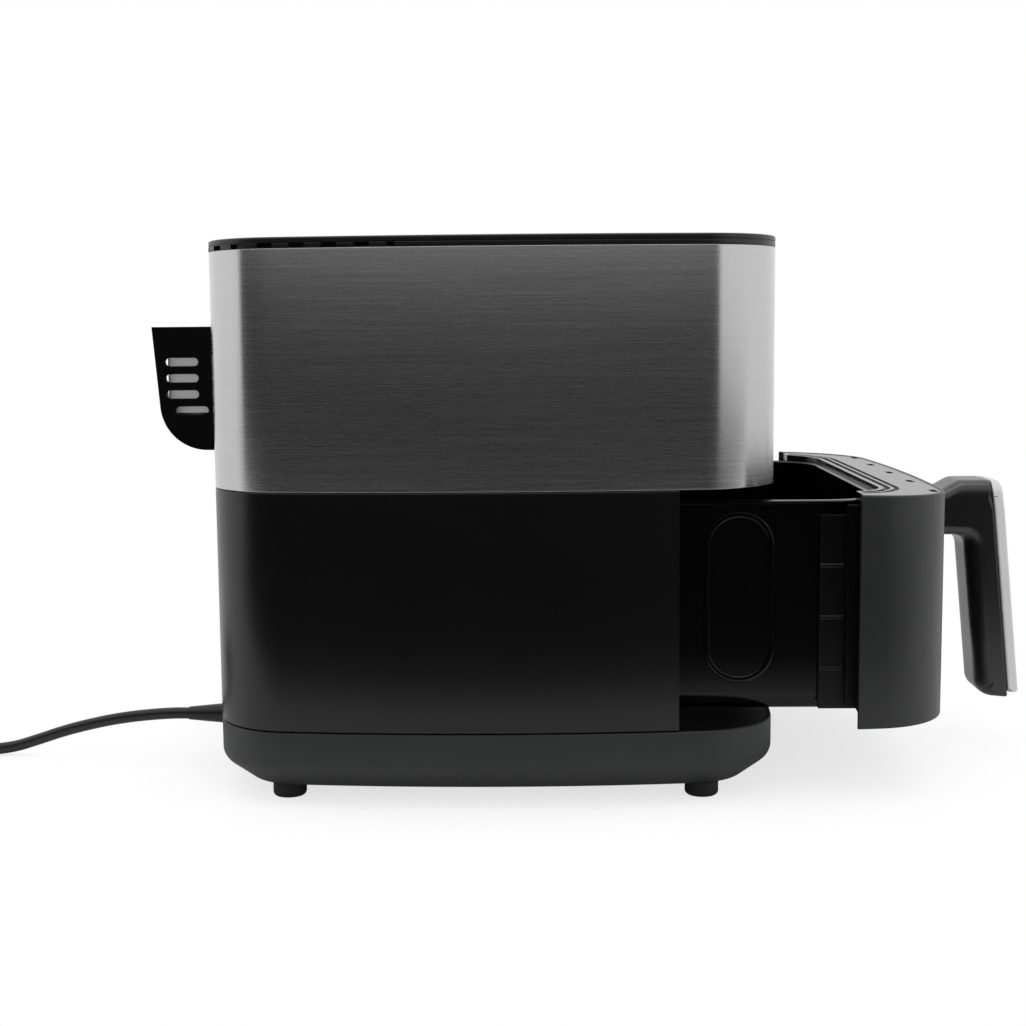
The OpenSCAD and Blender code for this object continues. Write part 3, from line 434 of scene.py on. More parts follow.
# the closed outline as points and outward normals, anticlockwise from the middle of the +X side
def bodyOutline(step=3.0):
    side, r = outlineSizes["sideBow"], outlineSizes["corner"]
    back, front = outlineSizes["backBow"], outlineSizes["frontBow"]
    cb, cf = cornerCentre(bodyBack, back), cornerCentre(bodyFront, front)
    sideAtBack = math.atan2(cb[1], cb[0] - halfW + side)
    backAt = math.atan2(cb[1] - bodyBack + back, cb[0])
    sideAtFront = math.atan2(cf[1], cf[0] - halfW + side)
    frontAt = math.atan2(cf[1] - bodyFront + front, cf[0])
    arcs = [((halfW - side, 0), side, 0, sideAtBack), (cb, r, sideAtBack, backAt),
            ((0, bodyBack - back), back, backAt, math.pi - backAt),
            ((-cb[0], cb[1]), r, math.pi - backAt, math.pi - sideAtBack),
            ((side - halfW, 0), side, math.pi - sideAtBack, math.pi + sideAtFront),
            ((-cf[0], -cf[1]), r, math.pi + sideAtFront, math.pi + frontAt),
            ((0, front - bodyFront), front, math.pi + frontAt, 2 * math.pi - frontAt),
            ((cf[0], -cf[1]), r, 2 * math.pi - frontAt, 2 * math.pi - sideAtFront),
            ((halfW - side, 0), side, -sideAtFront, 0)]
    points, normals = [], []
    for centre, radius, a0, a1 in arcs:
        n = max(3, int(abs(a1 - a0) * radius / (step * mm)))
        a = np.linspace(a0, a1, n, endpoint=False)
        turn = np.stack([np.cos(a), np.sin(a)], -1)
        points.append(np.array(centre) + radius * turn)
        normals.append(turn)
    points = np.concatenate(points)
    points[:, 1] += midY
    return points, np.concatenate(normals)


outline, outlineOut = bodyOutline()


# the stretch of the outline on one side of an upright plane across Y, in order, with exact ends
def outlinePart(atY, rear):
    keep = outline[:, 1] > atY if rear else outline[:, 1] < atY
    start = np.flatnonzero(keep & ~np.roll(keep, 1))[0]
    order = (start + np.arange(keep.sum())) % len(keep)

    def cut(inside, outside):
        t = (atY - outline[inside, 1]) / (outline[outside, 1] - outline[inside, 1])
        p = outline[inside] * (1 - t) + outline[outside] * t
        q = outlineOut[inside] * (1 - t) + outlineOut[outside] * t
        return p, q / np.linalg.norm(q)
    first = cut(order[0], order[0] - 1)
    last = cut(order[-1], (order[-1] + 1) % len(keep))
    points = np.vstack([first[0], outline[order], last[0]])
    out = np.vstack([first[1], outlineOut[order], last[1]])
    return points, out


# a profile of (inset, height) points carried along the outline; an open sweep gets flat ends
def sweep(path, out, profile, closedPath=True, closedProfile=True):
    profile = np.asarray(profile, float)
    n, m = len(path), len(profile)
    xy = path[:, None, :] - out[:, None, :] * profile[None, :, 0, None]
    z = np.broadcast_to(profile[None, :, 1, None], (n, m, 1))
    verts = np.concatenate([xy, z], -1).reshape(-1, 3)
    faces = gridFaces(n, m, closedPath, closedProfile)
    faces = [f[::-1] for f in faces]
    if not closedPath and closedProfile:
        faces.append(list(range(m))[::-1])
        faces.append([(n - 1) * m + k for k in range(m)])
    return verts, faces


# closed profile with rounded corners: corners are (inset, height, radius), in order
def roundProfile(corners, steps=4):
    corners = [np.array(c, float) for c in corners]
    n = len(corners)
    found = []
    for i in range(n):
        p, r = corners[i][:2], corners[i][2]
        a, b = corners[i - 1][:2] - p, corners[(i + 1) % n][:2] - p
        la, lb = np.linalg.norm(a), np.linalg.norm(b)
        a, b = a / la, b / lb
        if r <= 0:
            found.append(p)
            continue
        half = math.acos(np.clip(np.dot(a, b), -1, 1)) / 2
        reach = min(r / math.tan(half), la * 0.49, lb * 0.49)
        r = reach * math.tan(half)
        centre = p + (a + b) / np.linalg.norm(a + b) * r / math.sin(half)
        s, e = p + a * reach - centre, p + b * reach - centre
        a0, a1 = math.atan2(s[1], s[0]), math.atan2(e[1], e[0])
        turn = (a1 - a0 + math.pi) % (2 * math.pi) - math.pi
        for k in range(steps + 1):
            g = a0 + turn * k / steps
            found.append(centre + r * np.array([math.cos(g), math.sin(g)]))
    return np.array(found)


baseZ = (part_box("base_skirt")[0].z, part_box("base")[0].z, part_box("base")[1].z)
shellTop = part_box("lower_shell")[1].z
bandZ = (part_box("steel_wrap")[0].z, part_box("steel_wrap")[1].z)
coverZ = (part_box("top_cover")[0].z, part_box("top_cover")[1].z)
shell = {
    "wall": 2.5 * mm,
    "chamferIn": 17 * mm,
    "seam": 0.7 * mm,
    "steel": 0.9 * mm,
    "sideEdge": 108 * mm,
    "drawerGap": 1.5 * mm,
    "edge": 0.8 * mm,
}
wall = shell["wall"]


# base: a profile of a slope, a wide round and an upright wall, carried along the outline
def makeBase():
    zLow, zSlope, zTop = baseZ
    profile = roundProfile([
        (shell["chamferIn"] + wall, zLow, 0),
        (shell["chamferIn"], zLow, 3 * mm),
        (0, zSlope, 9 * mm),
        (0, zTop, shell["edge"]),
        (wall, zTop, 0),
        (wall, zSlope, 0),
    ], steps=6)
    verts, faces = sweep(outline, outlineOut, profile)
    piece = addPiece("base_shell", verts, faces, charcoalAbs, "housing")
    # deck that closes the base above, seen when the drawer is out
    n = len(outline)
    ring = outline - outlineOut * (wall * 0.9)
    top = np.column_stack([ring, np.full(n, zTop - 0.1 * mm)])
    low = np.column_stack([ring, np.full(n, zTop - wall)])
    verts = np.vstack([top, low])
    faces = [list(range(n)), [n + k for k in range(n)][::-1]] + gridFaces(2, n, False, True)
    deck = addPiece("base_deck", verts, faces, innerBlack, "housing")
    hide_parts("base", "base_skirt")


# lower shell: an upright wall carried along the rear part of the outline, open at the front
def makeLowerShell():
    path, out = outlinePart(midY - shell["sideEdge"], True)
    z0, z1 = baseZ[2] + shell["seam"], shellTop
    e = shell["edge"]
    profile = roundProfile([(0, z0, e), (0, z1, e), (wall, z1, 0.3 * mm), (wall, z0, 0.3 * mm)])
    verts, faces = sweep(path, out, profile, closedPath=False)
    piece = addPiece("lower_shell_skin", verts, faces, blackAbs, "housing")
    # tongue that stands on the deck behind the seam
    tongue = roundProfile([(wall - 0.3 * mm, baseZ[2], 0), (wall - 0.3 * mm, baseZ[2] + 6 * mm, 0),
                           (wall + 1.2 * mm, baseZ[2] + 6 * mm, 0), (wall + 1.2 * mm, baseZ[2], 0)])
    verts, faces = sweep(path, out, tongue, closedPath=False)
    inner = addPiece("lower_shell_tongue", verts, faces, innerBlack, "housing")
    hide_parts("lower_shell")


# steel band: a thin upright strip carried round the whole outline
def makeSteelBand():
    z0, z1 = bandZ
    t = shell["steel"]
    profile = roundProfile([(0, z0, 0.5 * mm), (0, z1, 0.4 * mm), (t, z1, 0.2 * mm), (t, z0, 0.2 * mm)],
                           steps=3)
    verts, faces = sweep(outline, outlineOut, profile)
    piece = addPiece("steel_band", verts, faces, stainless, "housing")
    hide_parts("steel_wrap")


cover = {
    "band": 2.7 * mm,
    "groove": 0.6 * mm,
    "grooveIn": 0.7 * mm,
    "toothPitch": 17.2 * mm,
    "toothGap": 8.4 * mm,
    "intakeFrom": 43 * mm,
    "crown": 0.4 * mm,
}


# lid: the outline shrunk ring by ring to its middle, each ring a little higher
def makeTopCover():
    z0, z1 = coverZ
    zg0, zg1 = z0 + cover["band"], z0 + cover["band"] + cover["groove"]
    gin = cover["grooveIn"]
    e = 1.1 * mm
    profile = roundProfile([(gin, zg0, 0), (gin, zg1, 0), (0, zg1, 0.25 * mm), (0, z1 - cover["crown"], e),
                            (3 * mm, z1 - cover["crown"] * 0.5, 4 * mm)], steps=5)
    # open profile: the edge, then rings that close over the crown
    n = len(outline)
    centre = np.array([0.0, midY])
    rings = [np.column_stack([outline - outlineOut * p[0], np.full(n, p[1])]) for p in profile]
    edge = outline - outlineOut * profile[-1][0]
    for share in (0.75, 0.5, 0.25):
        z = z1 - cover["crown"] * 0.5 * share
        rings.append(np.column_stack([centre + (edge - centre) * share, np.full(n, z)]))
    verts = np.vstack(rings + [np.array([[centre[0], centre[1], z1]])])
    faces = gridFaces(len(rings), n, False, True)
    last = (len(rings) - 1) * n
    faces += [[last + k, last + (k + 1) % n, len(verts) - 1] for k in range(n)]
    # underside
    faces.append(list(range(n))[::-1])
    piece = addPiece("cover_lid", verts, faces, coverBlack, "housing")

    # the lower band: unbroken round the front, toothed by the air gaps round the back
    band = roundProfile([(0, z0 + 0.1 * mm, 0.3 * mm), (0, zg0, 0.3 * mm), (wall, zg0, 0),
                         (wall, z0 + 0.1 * mm, 0)], steps=3)
    path, out = outlinePart(midY + cover["intakeFrom"], False)
    verts, faces = sweep(path, out, band, closedPath=False)
    front = addPiece("cover_band", verts, faces, coverBlack, "housing")
    path, out = outlinePart(midY + cover["intakeFrom"], True)
    run = np.concatenate([[0], np.cumsum(np.linalg.norm(np.diff(path, axis=0), axis=1))])
    total = run[-1]
    count = int(total // cover["toothPitch"])
    pitch = total / count
    allVerts, allFaces = [], []
    for k in range(count):
        s = np.linspace(k * pitch + cover["toothGap"] / 2, (k + 1) * pitch - cover["toothGap"] / 2, 4)
        p = np.column_stack([np.interp(s, run, path[:, i]) for i in (0, 1)])
        q = np.column_stack([np.interp(s, run, out[:, i]) for i in (0, 1)])
        verts, faces = sweep(p, q, band, closedPath=False)
        base = sum(len(v) for v in allVerts)
        allVerts.append(verts)
        allFaces += [[i + base for i in f] for f in faces]
    teeth = addPiece("cover_teeth", np.vstack(allVerts), allFaces, coverBlack, "housing")
    # wall behind the air gaps
    back = roundProfile([(wall + 0.1 * mm, z0, 0), (wall + 0.1 * mm, zg0 + 0.4 * mm, 0),
                         (wall + 2 * mm, zg0 + 0.4 * mm, 0), (wall + 2 * mm, z0, 0)])
    verts, faces = sweep(outline, outlineOut, back)
    screen = addPiece("cover_screen", verts, faces, innerBlack, "housing")
    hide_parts("top_cover")


makeBase()
makeLowerShell()
makeSteelBand()
makeTopCover()
print("housing shells made")


panel = {
    "proud": 0.35 * mm,
    "thick": 2.4 * mm,
    "corner": 10 * mm,
    "edge": 0.8 * mm,
    "iconLine": 0.5 * mm,
    "inkLift": 0.05 * mm,
    "upperRow": 12 * mm,
    "lowerRow": 22 * mm,
    "keyPitch": 22 * mm,
    "stepKeyX": 58 * mm,
}
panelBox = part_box("control_panel")


# distance of the front face from the middle, at x, for the bowed front
def frontAt(x, inset=0.0):
    r = outlineSizes["frontBow"]
    return midY - (bodyFront - r + np.sqrt((r - inset) ** 2 - x ** 2))


# closed rounded rectangle in (x, z), as points and outward normals; extra points along each
# straight side let it follow a bow
def roundedRect(x0, x1, z0, z1, r, steps=8, extra=0):
    arc = np.radians(np.linspace(0, 90, steps + 1))
    a = (np.radians(np.arange(4) * 90)[:, None] + arc).reshape(4, -1)
    out = np.stack([np.cos(a), np.sin(a)], -1)
    mids = np.array([(x1 - r, z1 - r), (x0 + r, z1 - r), (x0 + r, z0 + r), (x1 - r, z0 + r)])
    points = mids[:, None] + r * out
    share = np.linspace(0, 1, extra + 2)[None, 1:-1, None]
    sides = points[:, -1:] * (1 - share) + np.roll(points, -1, 0)[:, :1] * share
    points = np.concatenate([points, sides], 1).reshape(-1, 2)
    out = np.concatenate([out, np.repeat(out[:, -1:], extra, 1)], 1).reshape(-1, 2)
    return points, out


# control panel: a rounded rectangle laid on the bowed front, in rings that shrink to its middle
def makeControlPanel():
    x0, x1, z0, z1 = panelBox[0].x, panelBox[1].x, panelBox[0].z, panelBox[1].z
    rect, out = roundedRect(x0, x1, z0, z1, panel["corner"], extra=16)
    n, e = len(rect), panel["edge"]
    rings = []
    # from the back edge round the front edge, then shrinking rings follow the bow
    steps = ((0, -panel["thick"]), (0, panel["proud"] - e), (0.3 * e, panel["proud"] - 0.3 * e),
             (e, panel["proud"]))
    for inset, lift in steps:
        p = rect - out * inset
        rings.append(np.column_stack([p[:, 0], frontAt(p[:, 0]) - lift, p[:, 1]]))
    mid = np.array([(x0 + x1) / 2, (z0 + z1) / 2])
    for share in (0.8, 0.55, 0.3, 0.1):
        p = mid + (rect - out * e - mid) * share
        rings.append(np.column_stack([p[:, 0], frontAt(p[:, 0]) - panel["proud"], p[:, 1]]))
    verts = np.vstack(rings)
    faces = gridFaces(len(rings), n, False, True)
    faces.append([(len(rings) - 1) * n + k for k in range(n)])
    faces.append(list(range(n))[::-1])
    piece = addPiece("panel_glass", verts, faces, panelAcrylic, "housing")
    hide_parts("control_panel")
    # generic touch marks: rings, bars and a display window outline
    marks, markFaces = [], []

    def addRing(cx, cz, rx, rz, corner):
        ring, ringOut = roundedRect(cx - rx, cx + rx, cz - rz, cz + rz, corner, 6, extra=4)
        base = sum(len(v) for v in marks)
        for grow in (0.0, panel["iconLine"]):
            p = ring + ringOut * grow
            y = frontAt(p[:, 0]) - panel["proud"] - panel["inkLift"]
            marks.append(np.column_stack([p[:, 0], y, p[:, 1]]))
        markFaces.extend(gridFaces(2, len(ring), False, True, base))
    upper, lower = mid[1] + panel["upperRow"], mid[1] - panel["lowerRow"]
    addRing(0, upper, 30 * mm, 13 * mm, 3 * mm)
    for k in range(-3, 4):
        addRing(k * panel["keyPitch"], lower, 6 * mm, 6 * mm, 5.9 * mm)
        addRing(k * panel["keyPitch"], lower, 1.6 * mm, 1.6 * mm, 1.5 * mm)
    for side in (-1, 1):
        addRing(side * panel["stepKeyX"], upper, 7 * mm, 7 * mm, 6.9 * mm)
        addRing(side * panel["stepKeyX"], upper, 3 * mm, 0.4 * mm, 0.3 * mm)
    addRing(panel["stepKeyX"], upper, 0.4 * mm, 3 * mm, 0.3 * mm)
    addPiece("panel_marks", np.vstack(marks), markFaces, printGrey, "housing")


makeControlPanel()
print("control panel made")


footRadius = 9.5 * mm


# feet: one profile of a round pad turned about four upright axes
def makeFeet():
    low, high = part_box("rubber_feet")
    r, z1 = footRadius, high.z
    profile = np.array([(0, 0), (r - 2.2 * mm, 0), (r - 1.2 * mm, 0.25 * mm), (r - 0.3 * mm, 1.1 * mm),
                        (r, 2.2 * mm), (r, z1 - 1 * mm), (r - 0.4 * mm, z1), (0, z1)])
    a = np.linspace(0, 2 * math.pi, 40, endpoint=False)[:, None]
    verts, faces = [], []
    for x in (low.x + r, high.x - r):
        for y in (low.y + r, high.y - r):
            base = len(verts) * a.size * len(profile)
            ring = np.stack([x + profile[:, 0] * np.cos(a), y + profile[:, 0] * np.sin(a),
                             profile[:, 1] + 0 * a], -1)
            verts.append(ring.reshape(-1, 3))
            faces += gridFaces(a.size, len(profile), True, False, base)
    piece = addPiece("feet_rubber", np.vstack(verts), faces, footRubber, "housing")
    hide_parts("rubber_feet")


makeFeet()


# pressed deflector inside the outlet, a U in plan, seen as pale metal behind the slots
deflector = {
    "x": 50 * mm,
    "front": 3 * mm,
    "depth": 29.5 * mm,
    "corner": 3 * mm,
    "z": (214 * mm, 251 * mm),
    "sheet": 0.8 * mm,
}


def makeDeflector():
    x, r = deflector["x"], deflector["corner"]
    y0, y1 = backY + deflector["front"], backY + deflector["depth"]
    a = np.radians(np.linspace(0, 90, 8))
    right = np.column_stack([x - r + r * np.cos(a), y1 - r + r * np.sin(a)])
    left = np.column_stack([-right[::-1, 0], right[::-1, 1]])
    path = np.vstack([[x, y0], right, left, [-x, y0]])
    turn = np.column_stack([np.cos(a), np.sin(a)])
    out = np.vstack([[1, 0], turn, np.column_stack([-turn[::-1, 0], turn[::-1, 1]]), [-1, 0]])
    z0, z1 = deflector["z"]
    t = deflector["sheet"]
    verts, faces = sweep(path, out, [(0, z0), (0, z1), (t, z1), (t, z0)], closedPath=False)
    piece = addPiece("outlet_deflector", verts, faces, paleEnamel, "housing")


makeDeflector()
softened("exhaust_vent", ventBlack, "housing", 1.0 * mm, 3)
softened("cavity_frame", innerBlack, "housing", 0.5 * mm, 2)
softened("bottom_plate", blackAbs, "housing", 0.3 * mm, 1)
print("outlet and feet made")


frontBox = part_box("drawer_front")
drawerShift = frontBox[0].y - frontY
drawerEdgeY = frontBox[1].y
drawer = {
    "slope": math.tan(math.radians(1.8)),
    "edge": 1.2 * mm,
    "floorIn": 1.2 * mm,
}


# drawer front: the outline's front part pulled out, its top falling away at a fixed slope
def makeDrawerFront():
    path, out = outlinePart(midY - shell["sideEdge"] - shell["drawerGap"], False)
    path = path + np.array([0, drawerShift])
    z0, z1 = frontBox[0].z, frontBox[1].z
    profile = roundProfile([(0, z0, drawer["edge"]), (0, z1, drawer["edge"]), (wall, z1, 0.6 * mm),
                            (wall, z0, 0.5 * mm)], steps=4)
    verts, faces = sweep(path, out, profile, closedPath=False)
    upper = verts[:, 2] > (z0 + z1) / 2
    verts[upper, 2] -= (drawerEdgeY - verts[upper, 1]) * drawer["slope"]
    piece = addPiece("drawer_shell", verts, faces, drawerGrey, "drawer")
    bevel(piece, 0.8 * mm, 3, 60)
    # floor between the shell and the inner panel
    keep = path[:, 1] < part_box("drawer_inner_panel")[0].y + 3 * mm
    ring = (path - out * drawer["floorIn"])[keep]
    n = len(ring)
    low = np.column_stack([ring, np.full(n, z0 + 0.4 * mm)])
    high = np.column_stack([ring, np.full(n, z0 + wall)])
    verts = np.vstack([low, high])
    faces = [list(range(n))[::-1], [n + k for k in range(n)]] + gridFaces(2, n, False, True)
    addPiece("drawer_floor", verts, faces, innerBlack, "drawer")
    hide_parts("drawer_front")


makeDrawerFront()
softened("drawer_cap", capBlack, "drawer", 0.45 * mm, 2)
softened("drawer_inner_panel", innerBlack, "drawer", 0.6 * mm, 2)
softened("side_brackets", innerBlack, "drawer", 0.5 * mm, 2)
print("drawer front made")


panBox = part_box("pan")
pan = {
    "halfW": 132 * mm,
    "front": 128 * mm,
    "back": 123 * mm,
    "corner": 34 * mm,
    "wall": 1.6 * mm,
    "flange": 5.5 * mm,
    "foot": 11 * mm,
    "beadIn": 1.8 * mm,
    "beadOut": 0.75 * mm,
}
# pressed side pads: distance along Y and width, then lower and upper height over the pan's foot
padShapes = [(-47, 36, 18, 111), (18, 60, 18, 71)]
panMid = midY + drawerShift


# pan: a rounded rectangle carried through one profile, down outside, round the foot and up inside
def makePan():
    rect, out = roundedRect(-pan["halfW"], pan["halfW"], -pan["front"], pan["back"], pan["corner"], 10)
    rect = rect + np.array([0, panMid])
    z0, z1 = panBox[0].z, panBox[1].z
    f, t, r = pan["flange"], pan["wall"], pan["foot"]
    a = np.radians(np.linspace(0, 90, 8))
    outer = [(r * (1 - math.sin(g)), z0 + r * (1 - math.cos(g))) for g in a]
    ri = r - t
    inner = [(t + ri * (1 - math.sin(g)), z0 + t + ri * (1 - math.cos(g))) for g in a][::-1]
    rim = [(0, z1 - 2.2 * mm), (-f + 0.8 * mm, z1 - 2 * mm), (-f, z1 - 1.3 * mm), (-f + 0.2 * mm, z1 - 0.4 * mm),
           (-f + 0.9 * mm, z1), (t - 0.9 * mm, z1), (t, z1 - 0.8 * mm)]
    profile = np.array(outer + rim + inner)
    n = len(rect)
    rings = [np.column_stack([rect - out * p[0], np.full(n, p[1])]) for p in profile]
    verts = np.vstack(rings)
    faces = gridFaces(len(rings), n, False, True)
    faces.append(list(range(n))[::-1])
    faces.append([(len(rings) - 1) * n + k for k in range(n)])
    piece = addPiece("pan_shell", verts, faces, nonstickBlack, "drawer")
    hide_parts("pan")
    # pads: a half-round bead along each rounded rectangle, with its flat back closed
    beads, beadFaces = [], []
    b = np.radians(np.linspace(0, 180, 7))[:, None]
    for side in (-1, 1):
        for y, w, low, high in padShapes:
            ring, ringOut = roundedRect((y - w / 2) * mm, (y + w / 2) * mm, z0 + low * mm, z0 + high * mm,
                                        (w / 2 - 0.1) * mm, steps=14)
            m, base = len(ring), sum(len(v) for v in beads)
            yz = ring + ringOut * (pan["beadIn"] * np.cos(b))[..., None]
            x = side * (pan["halfW"] - 0.05 * mm + pan["beadOut"] * np.sin(b)) + np.zeros(m)
            grid = np.stack([x, yz[..., 0] + panMid, yz[..., 1]], -1)
            beads.append(grid.reshape(-1, 3))
            beadFaces += gridFaces(b.size, m, False, True, base)
            k, top = np.arange(m), base + (b.size - 1) * m
            back = np.stack([base + (k + 1) % m, base + k, top + k, top + (k + 1) % m], -1)
            beadFaces += back.tolist()
    addPiece("pan_beads", np.vstack(beads), beadFaces, nonstickBlack, "drawer")


makePan()
softened("crisper_tray", nonstickBlack, "tray", 0.3 * mm, 2)
softened("tray_bumpers", siliconeGrey, "tray", 0.5 * mm, 2)
print("pan and tray made")


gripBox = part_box("handle_body")
handle = {
    "width": 44 * mm,
    "coverThick": 6 * mm,
    "gap": 0.7 * mm,
    "thick": 24.5 * mm,
    "lean": 13.3 * mm,
    "fingerGap": 30 * mm,
    "sideRound": 10 * mm,
    "crown": 9 * mm,
}
faceY = frontBox[0].y
gripZ0, gripZ1 = gripBox[0].z, gripBox[1].z


# y of a sloped line down the grip at height z; depth 0 is the finger side
def gripY(z, d):
    return faceY - handle["fingerGap"] - d - handle["lean"] * (gripZ1 - z) / (gripZ1 - gripZ0)


# a closed (y, z) outline carried across X: each long edge is a quarter round whose radius may
# change from point to point; rings run from one side face over the edge to the other, and
# near the top they drop by an arc in X, which rounds the shape's upper corners from the front
def pillow(points, halfWidth, radius, crown, top, steps=6):
    points = np.asarray(points, float)
    radius = np.broadcast_to(np.asarray(radius, float), len(points))
    tangent = np.roll(points, -1, 0) - np.roll(points, 1, 0)
    tangent /= np.linalg.norm(tangent, axis=1)[:, None]
    area = np.sum(points[:, 0] * np.roll(points[:, 1], -1) - np.roll(points[:, 0], -1) * points[:, 1])
    out = np.sign(area) * np.column_stack([tangent[:, 1], -tangent[:, 0]])
    turn = np.radians(np.linspace(0, 90, steps + 1))[:, None]
    edge = -halfWidth + radius * (1 - np.cos(turn))
    share = np.linspace(0, 1, 14)[1:-1, None]
    across = edge[-1] * (1 - share) - edge[-1] * share
    x = np.vstack([edge, across, -edge[::-1]])
    cut = radius * (1 - np.sin(turn))
    inset = np.vstack([cut, np.zeros_like(across), cut[::-1]])
    yz = points[None] - out[None] * inset[..., None]
    beyond = np.clip(np.abs(x) - (halfWidth - crown), 0, crown)
    drop = crown - np.sqrt(crown ** 2 - beyond ** 2)
    yz[..., 1] -= drop * np.clip((yz[..., 1] - top) / (2 * crown) + 1, 0, 1)
    verts = np.concatenate([x[..., None], yz], -1).reshape(-1, 3)
    rows, n = x.shape
    faces = gridFaces(rows, n, False, True)
    cap = tessellate_polygon([[Vector((0, p[0], p[1])) for p in yz[0]]])
    faces += [list(t) for t in cap]
    faces += [[(rows - 1) * n + k for k in t][::-1] for t in cap]
    return verts, faces


# handle: two outlines seen from the side, each carried across X by pillow
def makeHandle():
    z0, z1 = gripZ0, gripZ1
    inner = handle["thick"] - handle["coverThick"]
    g = handle["gap"]
    neckTop, neckLow = z1 - 6 * mm, z1 - 34 * mm
    # neck and grip in one: the neck flares up to the grip's top and down into its finger side
    corners = [
        (faceY + 1.5 * mm, neckTop, 0),
        (gripY(neckTop, 0) + 12 * mm, neckTop, 15 * mm),
        (gripY(z1, 0) + 1 * mm, z1, 9 * mm),
        (gripY(z1, inner - g), z1, 1.5 * mm),
        (gripY(z0, inner - g), z0 + 0.4 * mm, 1.5 * mm),
        (gripY(z0, 0), z0, 17 * mm),
        (gripY(neckLow, 0), neckLow, 9 * mm),
        (faceY + 1.5 * mm, neckLow, 0),
    ]
    points = densify(roundProfile(corners, steps=10), 2.5 * mm)
    # edge radius: wide on the finger side, fine against the cover, moderate on the neck and the top
    depth = (gripY(points[:, 1], 0) - points[:, 0]) / inner
    radius = 1.2 * mm + handle["sideRound"] * np.clip((1.0 - depth) / 0.9, 0, 1) ** 1.2
    onNeck = np.clip(-depth / 0.3, 0, 1)
    radius = radius * (1 - onNeck) + 6 * mm * onNeck
    onTop = np.clip((points[:, 1] - z1) / (12 * mm) + 1.3, 0, 1)
    radius = radius * (1 - onTop) + 3 * mm * onTop
    verts, faces = pillow(points, handle["width"] / 2, radius, handle["crown"], z1)
    piece = addPiece("handle_grip", verts, faces, handleBlack, "drawer", 60)
    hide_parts("handle_body")
    # silver cover: a flat bar down the outer face with small rounds at its ends
    low, high = z0 + 3.4 * mm, z1 - 0.1 * mm
    corners = [
        (gripY(high, inner), high, 0.6 * mm),
        (gripY(high, handle["thick"]), high, 4 * mm),
        (gripY(low, handle["thick"]), low, 2 * mm),
        (gripY(low, inner), low, 0.8 * mm),
    ]
    points = densify(roundProfile(corners, steps=8), 2.5 * mm)
    verts, faces = pillow(points, handle["width"] / 2 + 0.1 * mm, 1.1 * mm, handle["crown"], high, 4)
    piece = addPiece("handle_trim", verts, faces, silverTrim, "drawer", 60)
    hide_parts("handle_cover")


# extra points along the long straight stretches of a closed outline
def densify(points, step):
    found = []
    n = len(points)
    for i in range(n):
        a, b = points[i], points[(i + 1) % n]
        count = max(1, int(np.linalg.norm(b - a) / step))
        found += [a + (b - a) * k / count for k in range(count)]
    return np.array(found)


makeHandle()
print("handle made")


cord = {
    "diameter": 7 * mm,
    "coilMid": (-6, 376),
    "coilRadius": 36.5,
    "turns": 3.25,
    "layer": 7.0,
    "rest": 3.6,
}
# the route's own points in millimetres from the middle of the body, from the gland to the coil
routePoints = [(-57, 184, 30), (-56, 194, 29.7), (-54, 208, 28.4), (-52, 227, 25.8), (-49, 247, 21.4),
               (-46, 266, 16), (-43.8, 283, 10.2), (-42.6, 299, 5.4), (-42.5, 316, 3.6), (-42.5, 336, 3.6),
               (-42.5, 356, 3.6)]
tailPoints = [(6, 412.5, 24.2), (18, 412.5, 21), (30, 412.5, 16.5), (40, 412.5, 13.5), (50, 412.5, 12.5)]


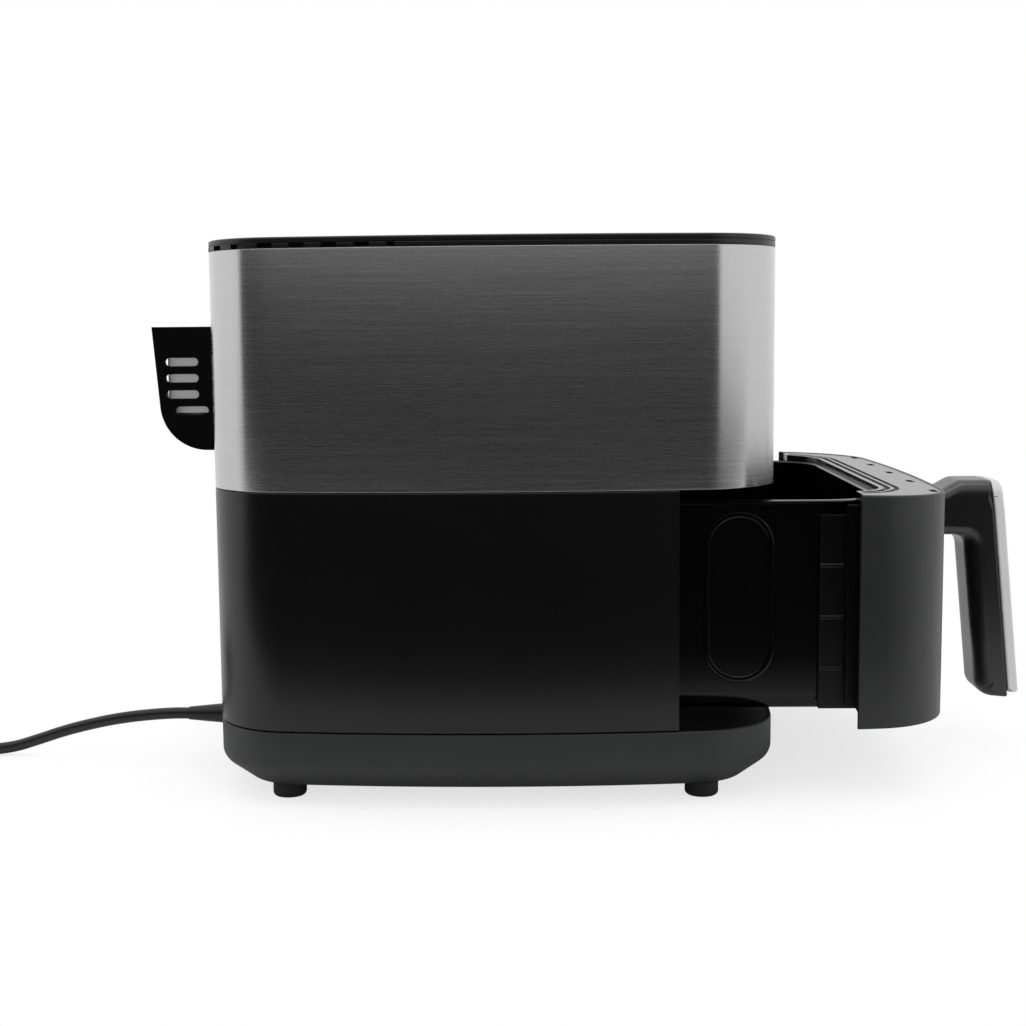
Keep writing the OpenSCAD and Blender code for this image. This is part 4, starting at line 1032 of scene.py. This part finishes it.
def makeCord():
    # coil: a helix about an upright axis, rising by one layer a turn
    turns, r = cord["turns"], cord["coilRadius"]
    cx, cy = cord["coilMid"]
    t = np.linspace(0, turns, int(turns * 20) + 1)
    a = math.pi * (1 - 2 * t)
    coil = np.column_stack([cx + r * np.cos(a), cy + r * np.sin(a), cord["rest"] + cord["layer"] * t])
    points = np.vstack([routePoints, coil, tailPoints]) * mm
    points = [tuple(p) for p in (points + np.array([0, midY, 0])).tolist()]
    curve = bpy.data.curves.new("mains_cord", "CURVE")
    curve.dimensions = "3D"
    curve.bevel_depth = cord["diameter"] / 2
    curve.bevel_resolution = 5
    curve.resolution_u = 4
    spline = curve.splines.new("BEZIER")
    spline.bezier_points.add(len(points) - 1)
    for b, p in zip(spline.bezier_points, points):
        b.co = p
        b.handle_left_type = b.handle_right_type = "AUTO"
    curve.use_fill_caps = True
    piece = bpy.data.objects.new("mains_cord", curve)
    bpy.context.scene.collection.objects.link(piece)
    curve.materials.append(cordPvc)
    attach(piece, "housing")
    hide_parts("power_cord", "cord_coil", "cord_tail")
    length = sum(math.dist(a, b) for a, b in zip(points, points[1:]))
    print("cord length", round(length, 3))
    return piece, points, length


mainsCord, cordPath, cordLength = makeCord()
tie = softened("cord_tie", siliconeGrey, "housing", 0.5 * mm, 2)
plug = softened("plug_body", cordPvc, "housing", 2.0 * mm, 3)
pins = softened("plug_pins", zincPlate, "housing", 0.3 * mm, 2)
gland = softened("cord_gland", cordPvc, "housing", 0.4 * mm, 2)
print("cord made")


finishes = {
    "cavity_liner": galvanised, "slide_rails": galvanised, "exhaust_duct": galvanised,
    "heater_housing": galvanised, "element_clips": galvanised, "motor_bracket": galvanised,
    "thermal_fuse": galvanised, "upper_chassis": innerBlack, "panel_frame": innerBlack,
    "micro_switch": charcoalAbs, "display_board": boardEpoxy, "power_board": boardEpoxy,
    "board_posts": whitePa, "terminal_block": whitePa, "switch_plunger": whitePa, "cooling_fan": whitePa,
    "insulation_ring": mineralWool, "wiring_loom": glassSleeve, "heating_element": sheathSteel,
    "heater_guard": brightWire, "ntc_sensor": brightWire, "circulation_fan": brightWire,
    "motor_screws": zincPlate, "base_screws": zincPlate, "bracket_screws": zincPlate,
    "handle_screws": zincPlate, "fan_nut": zincPlate, "fan_motor": bareSteel, "fan_shaft": bareSteel,
    "shaft_bushes": sinteredBronze,
}
for node, material in finishes.items():
    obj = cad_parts[node]
    for slot in obj.material_slots:
        slot.material = material
print("CAD nodes finished")
